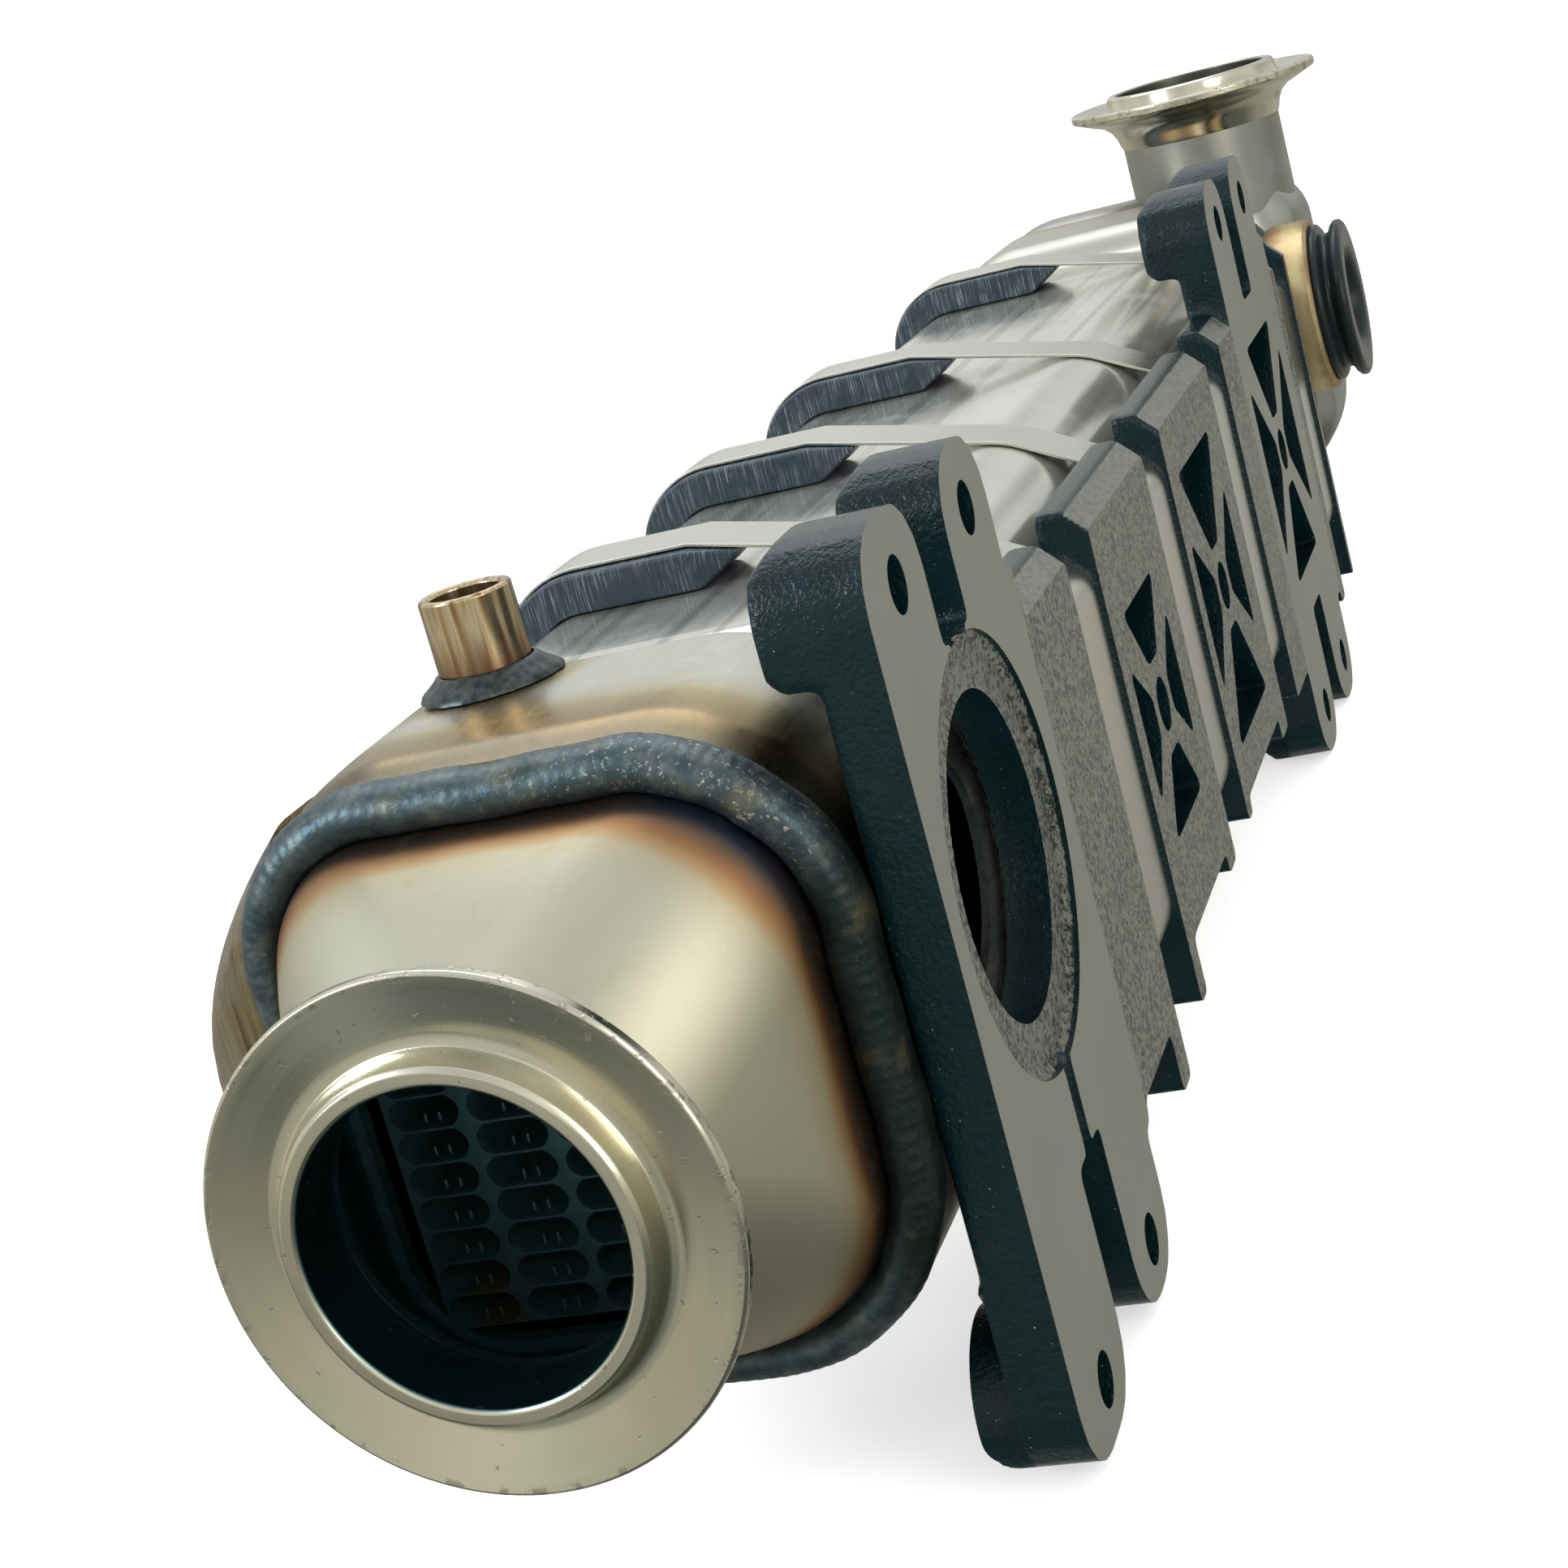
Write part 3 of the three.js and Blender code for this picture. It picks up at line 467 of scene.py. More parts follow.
low, high = span("gas_inlet_cone")
neck_y, mouth_y = low[1], high[1]
angles = 2 * math.pi * (np.arange(64) + 0.5) / 64
circle = np.stack([np.cos(angles), np.sin(angles)], 1)
centre = np.array([inlet[0], inlet[2]])
shoulder = tank_end(MOUTH_INSET + 1.6)
flare = centre + FLARE_RADIUS * circle
mouth = tank_end(MOUTH_INSET)
stations = [
    (neck_y, centre + NECK_RADIUS * circle), (neck_y + 3, centre + (NECK_RADIUS + 0.4) * circle),
    (neck_y + 7, flare), (neck_y + 9, flare + (mouth - flare) * 0.05),
    (mouth_y - 11, flare + (mouth - flare) * 0.88), (mouth_y - 7, shoulder), (mouth_y, mouth)]
keys = [y for y, _ in stations]
fine = np.linspace(neck_y, mouth_y, 48)
outlines = flowing(keys, [outline for _, outline in stations], fine)
rings = [at_y(outline, y) for outline, y in zip(outlines, fine)]
cone = walled(skin("pressed_inlet_cone", rings), CONE_WALL)

blasted = Surface("blasted_cone_steel")
wander = blasted.noise(0.03, 3.0)
sand = blasted.noise(2.6, 4.0, 0.7)
near_right = blasted.step(blasted.x, -62.0, -34.0) * blasted.step(blasted.z, -40.0, -5.0)
reach = blasted.y + 7.0 * (wander - 0.5) + 4.0 * near_right
heat = blasted.ramp(blasted.step(reach, mouth_y - 22.0, mouth_y - 3.0), [
    (0.00, (0.50, 0.48, 0.37)), (0.34, (0.49, 0.43, 0.29)), (0.54, (0.44, 0.29, 0.14)),
    (0.74, (0.33, 0.17, 0.08)), (0.97, (0.12, 0.09, 0.07))])
blue = near_right * blasted.step(reach, mouth_y - 5.5, mouth_y - 2.5)
smudge = blasted.step(blasted.noise(0.09, 4.0, 0.65, shift=5.0), 0.52, 0.72)
outward = blasted.facing("X") * (blasted.x - inlet[0]) + blasted.facing("Z") * (
    blasted.z - inlet[2])
lining = 1.0 - blasted.step(outward, -3.0, 3.0)
skin_tone = blasted.mix(
    smudge * 0.2, blasted.mix(blue * 0.8, heat, (0.05, 0.08, 0.17)), (0.36, 0.31, 0.21))
blasted.finish(
    blasted.mix(lining, skin_tone, SOOTY),
    0.38 + 0.12 * sand + 0.08 * smudge, bump=0.020 * sand, Specular_IOR_Level=0.5)
fitted(cone, blasted, "blasted_steel", "gas_inlet_cone")

# ------------------------------------------------------------------ closing welds
# A heavy weld bead all round each end joins tank, tube plate and gas hood. It was laid in short
# overlapping ripples and its scale is blue-grey with bright flecks of clean metal. The flecks are
# made denser and brighter at the upper right as a painted highlight, and the bead's right side is
# darkened as painted shade.
BEAD = [
    (-8.6, 1.4), (-8.4, -2.6), (-7.2, -5.2), (-5.0, -6.6), (-2.4, -6.4), (-0.2, -5.0),
    (1.2, -2.6), (1.8, 0.4), (1.7, 3.4), (0.9, 5.4), (-0.8, 6.2), (-3.4, 5.6), (-6.6, 3.6)]
RIPPLE = 2.7


def weld_ring(name, joint_y, facing):
    """The bead's section swept round the joint, with its ripples leaning back as they were laid."""
    steps, side, proud = 110, 72, 0.05
    middle = tank_end(0, steps, side)
    walk = np.linalg.norm(np.diff(middle, axis=0, append=middle[:1]), axis=1)
    along = np.concatenate([[0], np.cumsum(walk)[:-1]])
    whole = walk.sum()
    turns = 2 * math.pi * round(whole / RIPPLE) * along / whole
    turns = turns + 1.1 * np.sin(2 * math.pi * 17 * along / whole + 0.4)
    wander = 0.35 * np.sin(2 * math.pi * 9 * along / whole) + 0.25 * np.sin(
        2 * math.pi * 23 * along / whole + 1.0)
    rings = []
    for k, (off, y) in enumerate(BEAD):
        crescent = 1.5 * math.sin(math.pi * k / (len(BEAD) - 1))
        swell = proud * np.sin(turns + crescent) * (0.35 if k in (0, len(BEAD) - 1) else 1.0)
        inner, outer = tank_end(-off, steps, side), tank_end(-off - 1, steps, side)
        ring = inner + (outer - inner) * (swell + 0.5 * wander)[:, None]
        step = joint_y + facing * (y - swell * 0.5 + wander * 0.4)
        rings.append(np.stack([ring[:, 0], step, ring[:, 1]], 1))
    return skin(name, rings, looped=True, crisp=60.0)


bead = Surface("welded_bead")
scale = bead.noise(0.16, 4.0, 0.6)
# Painted highlight: the bead's upper right gets more and brighter pale flecks, standing for light
# falling there; elsewhere the flecks are faint.
lit_upper_right = bead.step(bead.x, -95.0, -45.0) * bead.step(bead.z, -30.0, -8.0)
fleck = bead.step(bead.noise(0.9, 3.0, 0.65, shift=2.0) + 0.04 * lit_upper_right, 0.59, 0.76)
flecks_and_glints = fleck * (0.15 + 0.85 * lit_upper_right)
rust = bead.step(bead.noise(0.08, 3.0, shift=9.0), 0.56, 0.70)
tint = bead.ramp(scale, [
    (0.30, (0.040, 0.062, 0.070)), (0.50, (0.075, 0.105, 0.115)), (0.68, (0.15, 0.17, 0.16))])
# Painted shade: the bead's lower right side, towards the bracket, is darkened to near black.
unshaded_share = 1.0 - 0.85 * bead.step(bead.x, -34.0, -16.0) * (1.0 - bead.step(bead.z, -26.0, -8.0))
scale_and_shade = bead.mix(unshaded_share, (0.012, 0.022, 0.022), tint)
bead.finish(
    bead.mix(flecks_and_glints * 0.8, bead.mix(rust * 0.4, scale_and_shade, (0.18, 0.14, 0.07)), (0.55, 0.51, 0.40)),
    0.32 + 0.22 * scale, metallic=0.9, bump=0.30 * bead.noise(0.35, 3.0) + 0.05 * fleck)
fitted(weld_ring("front_weld_bead", (weld_low[1] + weld_high[1]) / 2, 1), bead, "weld_bead",
       "front_closing_weld")
low, high = span("rear_closing_weld")
fitted(weld_ring("rear_weld_bead", (low[1] + high[1]) / 2, -1), bead, "weld_bead",
       "rear_closing_weld")

# ------------------------------------------------------------------ tube bundle
# Thirteen rows of flat stainless tubes carry the gas. Their ends are opened out until they meet
# and are brazed to each other, and pairs of dimples hold each tube's walls apart. All is sooty,
# but past the brazed face the surfaces that look forward and up are painted pale as a highlight.
LEAK = (-112, -104)
dark_core = Surface("brazed_core")
soot = dark_core.noise(0.25, 3.0)
face_y = span("gas_tube_01")[0][1]
beyond = dark_core.step(dark_core.y, face_y + 0.8, face_y + 1.4)
# Painted highlight: faces behind the tube ends that look forward and up are coloured pale.
front_and_up = 0.0 - dark_core.facing("Y") * dark_core.facing("Z")
painted_tip_highlight = beyond * dark_core.step(front_and_up, 0.2, 0.35)
leaked = 1.0 - dark_core.step(dark_core.away_from(dark_core.x, dark_core.z, LEAK), 4.0, 8.0)
sooted = dark_core.mix(soot, (0.06, 0.16, 0.18), (0.13, 0.27, 0.29))
dark_core.finish(
    dark_core.mix(
        painted_tip_highlight, dark_core.mix(leaked * 0.8, sooted, (0.22, 0.17, 0.08)), (0.55, 0.60, 0.60)),
    0.38 + 0.2 * soot, metallic=0.7, bump=0.03 * dark_core.noise(1.5, 2.0))


def mouth_and_tile(width, height, tile_width, tile_height, point, steps=5):
    """A long opening with shallow rounded ends, and the oblong round it, point for point."""
    rise = np.linspace(0, 1, steps)
    fall = rise[:0:-1]
    straight = width / 2 - point
    beside = tile_width / 2 - straight
    mouth, tile = [], []
    for side, up, shares in ((1, 1, rise), (-1, 1, fall), (-1, -1, rise), (1, -1, fall)):
        for share in shares:
            a = share * math.pi / 2
            mouth.append((side * (straight + point * math.cos(a) ** 1.4),
                          up * height / 2 * math.sin(a)))
            tile.append((side * (straight + beside * min(1, 2 - 2 * share)),
                         up * tile_height / 2 * min(1, 2 * share)))
    return np.array(mouth), np.array(tile)


DIMPLE = [(0.45, -3.2), (0.45, -1.9), (0.38, -1.4), (0.0, -1.1)]
DIMPLE_SIDES = 10


def tube_row(name, node):
    """One row: flat tubes side by side, slim along the core and opened out at both ends."""
    low, high = span(node)
    middle = (low[2] + high[2]) / 2
    pitch, tall, count = 17.6, 7.4, 5
    points, faces = [], []
    for k in range(count):
        centre = np.array([(low[0] + high[0]) / 2 + (k - (count - 1) / 2) * pitch, middle])
        mouth, tile = mouth_and_tile(pitch - 2.4, tall - 1.1, pitch, tall, 2.7)
        slim = mouth * [0.90, 0.62]
        half = [
            (8.0, slim * [1.06, 1.14]), (3.5, tile), (-0.5, tile),
            (-0.45, mouth * [1.04, 1.10]), (0.2, mouth), (3.5, mouth), (8.0, slim)]
        loop = [at_y(centre + o, low[1] + y) for y, o in half]
        loop += [at_y(centre + o, high[1] - y) for y, o in reversed(half)]
        faces += quads(len(loop), len(mouth), looped=True, start=len(points))
        points += list(np.concatenate(loop))
        for side in (-1, 1):
            faces += quads(len(DIMPLE), DIMPLE_SIDES, start=len(points))
            for wide, up in DIMPLE:
                for a in np.linspace(0, 2 * math.pi, DIMPLE_SIDES, endpoint=False):
                    points.append((centre[0] + side * 1.6 + wide * math.cos(a),
                                   low[1] + 3 + wide * math.sin(a), middle + up))
    return piece_of(name, points, faces, 40)


for node in sorted(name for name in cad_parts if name.startswith("gas_tube_")):
    row = tube_row(node.replace("gas_tube", "opened_tube_row"), node)
    fitted(row, dark_core, "core_steel", node)
for node in ("baffle_1", "baffle_2", "baffle_3"):
    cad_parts[node].data.materials.clear()
    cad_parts[node].data.materials.append(dark_core.owner)

# The brazed tube ends hide all of each tube plate but its rim.
PLATE_RIM = 5
for node in ("front_tube_plate", "rear_tube_plate"):
    low, high = span(node)
    wall = [at_y(tank_end(MOUTH_INSET + by), y) for by, y in (
        (0, low[1]), (PLATE_RIM, low[1]), (PLATE_RIM, high[1]), (0, high[1]))]
    rim = skin(node + "_rim", wall, looped=True)
    fitted(rim, dark_core, "core_steel", node)

# ------------------------------------------------------------------ front coolant tank
# A deep-drawn stainless tank that steps down to the core behind it. The closing weld left a gold
# band of heat tint round its mouth, and past that the sheet is bare silver.


def settled(piece):
    """Applies a piece's modifiers to its mesh."""
    made = bpy.data.meshes.new_from_object(
        piece.evaluated_get(bpy.context.evaluated_depsgraph_get()))
    piece.modifiers.clear()
    old, piece.data = piece.data, made
    bpy.data.meshes.remove(old)
    return made


def opened(piece, radius, depth, centre, axis):
    """Cuts a round hole through a piece."""
    outline = [(0, 0), (radius, 0), (radius, depth), (0, depth)]
    tool = turned("hole_cutter", outline, centre, axis, 96)
    hole = piece.modifiers.new("round_hole", "BOOLEAN")
    hole.operation = "DIFFERENCE"
    hole.solver = "EXACT"
    hole.object = tool
    made = settled(piece)
    bpy.data.objects.remove(tool)
    made.shade_smooth()
    made.set_sharp_from_angle(angle=math.radians(30))
    return piece


TANK_WALL = 2.0
LEFT_BEND, RIGHT_BEND = 14, 30
shell_low, shell_high = span("core_shell")
SHELL = np.array([
    shell_low[0], shell_high[0], shell_low[2], shell_high[2], LEFT_BEND, RIGHT_BEND])
tank_low, tank_high = span("front_coolant_tank")


def tank_box(top=0.0, left=0.0, bottom=0.0, corner=34.0):
    """The tank's section with its top and bottom drawn in by so much."""
    return np.array([
        tank_low[0] + left, tank_high[0], tank_low[2] + bottom, tank_high[2] - top, corner, 42])


def through(stations, fine):
    """Rings through a list of (Y, section) stations."""
    boxes = flowing([y for y, _ in stations], [box for _, box in stations], fine)
    return [at_y(rounded(*box), y) for box, y in zip(boxes, fine)]


def drawn_tank(name, stations):
    fine = np.linspace(stations[0][0], stations[-1][0], 64)
    return walled(skin(name, through(stations, fine)), TANK_WALL)


front_y = tank_low[1]
front_tank = drawn_tank("drawn_front_tank", [
    (front_y, tank_box(3.5)), (front_y + 9, tank_box(0.6)), (front_y + 26, tank_box()),
    (front_y + 60, tank_box()), (front_y + 65, tank_box(2, 0, 2)),
    (front_y + 79, tank_box(10.5, 2.2, 8.5, 22)), (front_y + 93, tank_box(11.5, 3.2, 9.5, 16)),
    (tank_high[1], SHELL)])
port_y, port_z = 31.5, -47.3
opened(front_tank, 27, 30, (tank_high[0] - 15, port_y, port_z), "X")

tinted = Surface("tinted_tank_steel")
wander = tinted.noise(0.035, 3.0)
weld_y = front_y + 2.0
reach = 1.0 - tinted.step(tinted.y + 16.0 * (wander - 0.5), weld_y, weld_y + 34.0)
grime = tinted.step(tinted.noise(0.12, 4.0, 0.6, shift=4.0), 0.48, 0.75)
nipple_low, nipple_high = span("vent_nipple")
nipple = ((nipple_low[0] + nipple_high[0]) / 2, (nipple_low[1] + nipple_high[1]) / 2)
round_nipple = 1.0 - tinted.step(tinted.away_from(tinted.x, tinted.y, nipple), 15.0, 27.0)
heat = tinted.node("Math", {"operation": "MAXIMUM"}, {0: reach, 1: round_nipple * 0.62})
tank_tint = tinted.ramp(heat, [
    (0.00, (0.57, 0.56, 0.49)), (0.28, (0.50, 0.46, 0.32)), (0.50, (0.37, 0.30, 0.15)),
    (0.74, (0.28, 0.21, 0.10)), (0.90, (0.28, 0.20, 0.10)), (1.00, (0.17, 0.14, 0.09))])
drawn = tinted.drawn_out(0.9, 0.05, 0.9)
tinted.finish(
    tinted.mix(grime * 0.16, tank_tint, (0.25, 0.21, 0.13)),
    0.22 + 0.14 * drawn + 0.12 * grime, bump=0.010 * drawn + 0.05 * wander)
fitted(front_tank, tinted, "tinted_steel", "front_coolant_tank")

# ------------------------------------------------------------------ blister and vent nipple
# The blister on the side away from the engine is pressed sheet, seam-welded to the tank. The vent
# nipple is a turned stainless spigot in a dark fillet weld, gold-brown from its heat.
low, high = span("coolant_blister")
middle = (low + high) / 2
half = (high - low) / 2
rings = []
for share in np.linspace(0, 1, 14):
    tall = half[2] * ((1 - share) ** 0.62 * 0.91 + 0.09 * (1 - share) + 0.088 * share)
    wide = half[1] * (1 - 0.72 * share**2)
    corner = min(tall, wide) * 0.75
    outline = rounded(-wide, wide, -tall, tall, corner, corner, 10)
    rings.append([(high[0] - share * (high[0] - low[0]), middle[1] + a, middle[2] + b)
                  for a, b in outline])
blister = skin("pressed_blister", rings, capped=True, crisp=50.0)

bronze = Surface("bronzed_steel")
streak = bronze.drawn_out(0.55, 0.55, 0.03, rough=0.6)
patch = bronze.noise(0.045, 3.0, shift=1.0)
bronze.finish(
    bronze.mix(bronze.step(patch, 0.56, 0.70) * 0.6, bronze.ramp(streak, [
        (0.25, (0.10, 0.055, 0.025)), (0.42, (0.22, 0.15, 0.07)), (0.58, (0.29, 0.24, 0.13)),
        (0.75, (0.33, 0.30, 0.23))]), (0.28, 0.27, 0.24)),
    0.18 + 0.15 * streak, bump=0.05 * streak)
fitted(blister, bronze, "tinted_steel", "coolant_blister")

base, top = nipple_low[2], nipple_high[2]
tall = top - base
spigot = eased(turned("turned_vent_nipple", [
    (7.8, 0), (10.3, 0), (10.3, tall - 0.6), (9.9, tall), (8.5, tall), (7.8, tall - 0.7)],
    (*nipple, base), "Z", 96), 0.15)
nipple_steel = Surface("heat_streaked_nipple")
along = nipple_steel.drawn_out(0.34, 0.34, 0.02, 4.0)
burn = nipple_steel.step(nipple_steel.z + 14.0 * (along - 0.5), base + 14.0, base + 1.0)
nipple_steel.finish(
    nipple_steel.mix(burn, nipple_steel.ramp(along, [
        (0.30, (0.20, 0.11, 0.06)), (0.41, (0.48, 0.32, 0.16)), (0.50, (0.64, 0.56, 0.39)),
        (0.57, (0.52, 0.36, 0.18)), (0.66, (0.66, 0.60, 0.47))]), (0.20, 0.09, 0.045)),
    0.16 + 0.12 * along + 0.1 * burn, bump=0.03 * along)
fitted(spigot, nipple_steel, "tinted_steel", "vent_nipple")

low, high = span("vent_nipple_weld")
collar = turned("nipple_weld_collar", [
    (10.5, 0), (15.9, 0), (15.7, 0.6), (14.9, 1.3), (13.6, 2.2), (12.3, 3.2), (11.3, 4.2),
    (10.5, 4.4)], (*nipple, base), "Z", 120, crisp=60)
for vertex in collar.data.vertices:
    out = Vector((vertex.co.x - nipple[0] / 1000, vertex.co.y - nipple[1] / 1000, 0))
    turn_at = math.atan2(out.y, out.x)
    vertex.co += out * (0.008 * math.sin(19 * turn_at) + 0.03 * math.sin(3 * turn_at + 1))
collar_steel = Surface("oxidised_collar")
mottle = collar_steel.noise(0.5, 3.0)
collar_steel.finish(
    collar_steel.ramp(mottle, [(0.35, (0.030, 0.038, 0.040)), (0.65, (0.09, 0.10, 0.10))]),
    0.28 + 0.2 * mottle, metallic=0.8, bump=0.06 * mottle)
fitted(collar, collar_steel, "weld_bead", "vent_nipple_weld")

# ------------------------------------------------------------------ core shell
# The long jacket round the tubes: one rolled and seam-welded stainless sheet, polished along its
# length with a few duller bands, so that it mirrors the straps and pads in long streaks.
SHELL_WALL = 1.5
fine = np.linspace(shell_low[1], shell_high[1], 28)
shell = walled(skin("rolled_core_shell", [at_y(rounded(*SHELL), y) for y in fine]), SHELL_WALL)

polished = Surface("polished_shell_steel")
lengthwise = polished.drawn_out(0.5, 0.008, 0.5, 4.0, 0.6)
dents = polished.noise(0.02, 2.0)
handled = polished.step(polished.noise(0.05, 4.0, 0.6, shift=6.0), 0.5, 0.75)
bands = polished.noise(1.0, 2.0, at=polished.stretched(0.16, 0.0015, 0.16), shift=3.0)
dull_band = polished.step(bands, 0.52, 0.62)
silver = polished.mix(dents, (0.70, 0.69, 0.63), (0.60, 0.60, 0.54))
polished.finish(
    polished.mix(dull_band * 0.6, silver, (0.30, 0.30, 0.27)),
    0.09 + 0.14 * lengthwise + 0.10 * handled, metallic=0.78,
    bump=0.010 * lengthwise + 0.14 * dents)
fitted(shell, polished, "polished_steel", "core_shell")

# ------------------------------------------------------------------ rear coolant tank
# The same drawing turned round, with the coolant inlet in its engine side.
tank_low, tank_high = span("rear_coolant_tank")
rear_y = tank_high[1]
rear_tank = drawn_tank("drawn_rear_tank", [
    (tank_low[1], SHELL), (rear_y - 67, tank_box(10.5, 2.2, 8.5, 22)),
    (rear_y - 58, tank_box(2, 0, 2)), (rear_y - 52, tank_box()), (rear_y - 8, tank_box()),
    (rear_y, tank_box(3.5))])
CUP_BORE = 24
cup_low, cup_high = span("coolant_inlet_cup")
cup = (cup_low + cup_high) / 2
opened(rear_tank, CUP_BORE, 30, (tank_high[0] - 15, cup[1], cup[2]), "X")
rear_steel = Surface("rear_tank_steel")
reach = rear_steel.step(rear_steel.y + 14.0 * (rear_steel.noise(0.04, 3.0) - 0.5),
                        rear_y - 26.0, rear_y + 1.0)
haze = rear_steel.noise(0.1, 4.0, 0.6)
rear_steel.finish(
    rear_steel.ramp(reach, [
        (0.0, (0.44, 0.43, 0.37)), (0.5, (0.42, 0.36, 0.23)), (0.8, (0.36, 0.22, 0.09)),
        (1.0, (0.12, 0.11, 0.11))]),
    0.30 + 0.16 * haze, bump=0.012 * haze)
fitted(rear_tank, rear_steel, "polished_steel", "rear_coolant_tank")

# ------------------------------------------------------------------ coolant inlet cup and seal
# A turned cup welded to the rear tank, tinted gold to dark brown, with a black rubber spool pushed
# into it whose two lips seal on the coolant pipe.
length = cup_high[0] - cup_low[0]
cup_radius = (cup_high[1] - cup_low[1]) / 2
cup_piece = eased(turned("turned_inlet_cup", [
    (CUP_BORE, 0), (cup_radius - 3, 0), (cup_radius - 0.8, 1), (cup_radius, 3.4),
    (cup_radius, length - 1.3), (cup_radius - 1.2, length), (cup_radius - 3.2, length),
    (cup_radius - 3.2, 5.5), (CUP_BORE, 4)], (cup_low[0], cup[1], cup[2]), "X", 128), 0.25)
cup_steel = Surface("burnt_cup_steel")
burn = cup_steel.noise(0.045, 3.0, 0.55)
depth_in = cup_steel.step(cup_steel.x + 10.0 * (burn - 0.5), cup_low[0] - 1.0, cup_high[0] + 2.0)
cup_steel.finish(
    cup_steel.ramp(depth_in * 0.6 + burn * 0.45, [
        (0.22, (0.20, 0.12, 0.07)), (0.36, (0.42, 0.26, 0.13)), (0.50, (0.56, 0.42, 0.22)),
        (0.66, (0.56, 0.46, 0.25)), (0.82, (0.32, 0.21, 0.11))]),
    0.36 + 0.2 * burn, metallic=0.75, bump=0.03 * cup_steel.noise(0.8, 3.0))
fitted(cup_piece, cup_steel, "tinted_steel", "coolant_inlet_cup")

low, high = span("coolant_inlet_seal")
spool = turned("moulded_seal_spool", [
    (18, 0), (30.2, 0), (30.4, 10.4), (31.0, 11.2), (31.4, 12.2), (31.0, 13.3), (29.4, 14.5),
    (27.6, 15.1), (27.0, 15.8), (27.0, 17.1), (27.8, 17.9), (29.8, 18.9), (31.1, 20.1),
    (31.4, 21.3), (31.1, 22.5), (30.0, 23.3), (28.6, 23.5), (22.4, 23.5), (20.6, 23.1),
    (18.0, 21.5)], (low[0], cup[1], cup[2]), "X", 144, crisp=60)
black_rubber = Surface("black_seal_rubber")
bloom = black_rubber.noise(0.12, 3.0)
black_rubber.finish(
    black_rubber.mix(bloom, (0.006, 0.009, 0.010), (0.014, 0.020, 0.022)),
    0.18 + 0.20 * bloom, metallic=0.0, bump=0.02 * black_rubber.noise(1.2, 2.0),
    Specular_IOR_Level=0.3)
fitted(spool, black_rubber, "seal_rubber", "coolant_inlet_seal")

# ------------------------------------------------------------------ gas outlet
# A pressed hood gathers the cooled gas and turns it up into a short rolled tube, both of satin
# stainless. The clamp flange welded on top has the inlet's lip and face and flares into the tube.
HOOD_MOUTH = (-135.0, -21.0, -119.0, -1.0, 26.2, 34.2)
HOOD_WALL = 2.0
TUBE_RADIUS = 33.2
low, high = span("gas_outlet_hood")
hood_stations = [(low[1] + y, section) for y, section in [
    (0.0, HOOD_MOUTH), (5.3, HOOD_MOUTH), (12.0, (-137, -17, -121, 6, 28, 28)),
    (22.0, (-136, -8, -118, 9, 27, 24)), (48.0, (-130, -5, -110, 7, 26, 22)),
    (68.0, (-120, -8, -96, 0, 24, 22)), (74.5, (-112, -14, -86, -9, 21, 20)),
    (77.0, (-104, -22, -76, -18, 18, 18))]]
start_y, turn_y, end_y = (hood_stations[k][0] for k in (0, -2, -1))
fine = np.concatenate([np.linspace(start_y, turn_y, 52), np.linspace(turn_y, end_y, 6)[1:]])
hood = skin("pressed_outlet_hood", through(hood_stations, fine))
end = bmesh.new()
end.from_mesh(hood.data)
bmesh.ops.holes_fill(end, edges=[e for e in end.edges if e.is_boundary and all(
    v.co.y > (high[1] - 0.5) / 1000 for v in e.verts)], sides=0)
end.to_mesh(hood.data)
end.free()
hood = walled(hood, HOOD_WALL)

tube_low, tube_high = span("gas_outlet_tube")
outlet = ((tube_low[0] + tube_high[0]) / 2, (tube_low[1] + tube_high[1]) / 2)
opened(hood, BORE, 70, (*outlet, -30), "Z")

satin = Surface("satin_outlet_steel")
bead_blast = satin.noise(1.4, 4.0, 0.65)
stain = satin.noise(0.04, 3.0, shift=2.0)
satin.finish(
    satin.mix(satin.step(stain, 0.45, 0.7), (0.35, 0.35, 0.32), (0.44, 0.435, 0.38)),
    0.24 + 0.12 * bead_blast + 0.10 * stain, bump=0.015 * bead_blast + 0.05 * stain)
fitted(hood, satin, "blasted_steel", "gas_outlet_hood")
pipe = turned("rolled_outlet_tube", [
    (BORE, tube_low[2]), (TUBE_RADIUS, tube_low[2]), (TUBE_RADIUS, tube_high[2]),
    (BORE, tube_high[2])], (*outlet, 0), "Z", 128)
fitted(pipe, satin, "polished_steel", "gas_outlet_tube")

low, high = span("gas_outlet_flange")
trumpet = LIP_FACE_AND_RIM + [
    (44.6, 6.3), (39.6, 8.2), (36.6, 10.8), (34.9, 14.0), (34.1, 17.0), (33.3, 18.8),
    (33.3, 12.2), (BORE, 12.2)]
outlet_flange = eased(turned("gas_outlet_clamp_flange", [(r, -h) for r, h in trumpet], (
    *outlet, high[2] - LIP_HEIGHT), "Z", 160), 0.3)
outlet_steel = turned_steel("turned_steel_outlet", "x", "y", outlet, (0.16, 0.16, 0.14))
fitted(outlet_flange, outlet_steel, "machined_steel", "gas_outlet_flange")

# ------------------------------------------------------------------ mounting bracket
# One long iron casting: two thick bolting pads joined by a ribbed rail with lightening pockets. It
# is painted gloss black all over, then milled bare on the pads; the rail's faces are only skimmed,
# so that paint is left in the pits of the casting skin.
STOCK = 4.0
CASTING_GRID, CASTING_ROUNDS = 1.15, 8
RAIL_CHAMFER_LINE = -12.0
RECESS_FLOORS = (-2.2, -2.6)
HOLE_RADIUS = 6.0
HOLE_HEIGHTS = (20.0, -153.0)
BOLT_HOLES = [(y, z) for y in (0.0, 63.0, 471.5, 534.5) for z in HOLE_HEIGHTS]
PORT_BORE, PORT_RING = 35.3, 47.5
BOSS_RADIUS, BOSS_REACH = 18.5, 45.0
BOSS_FROM = -14.2
LOWER_EARS = -100.0


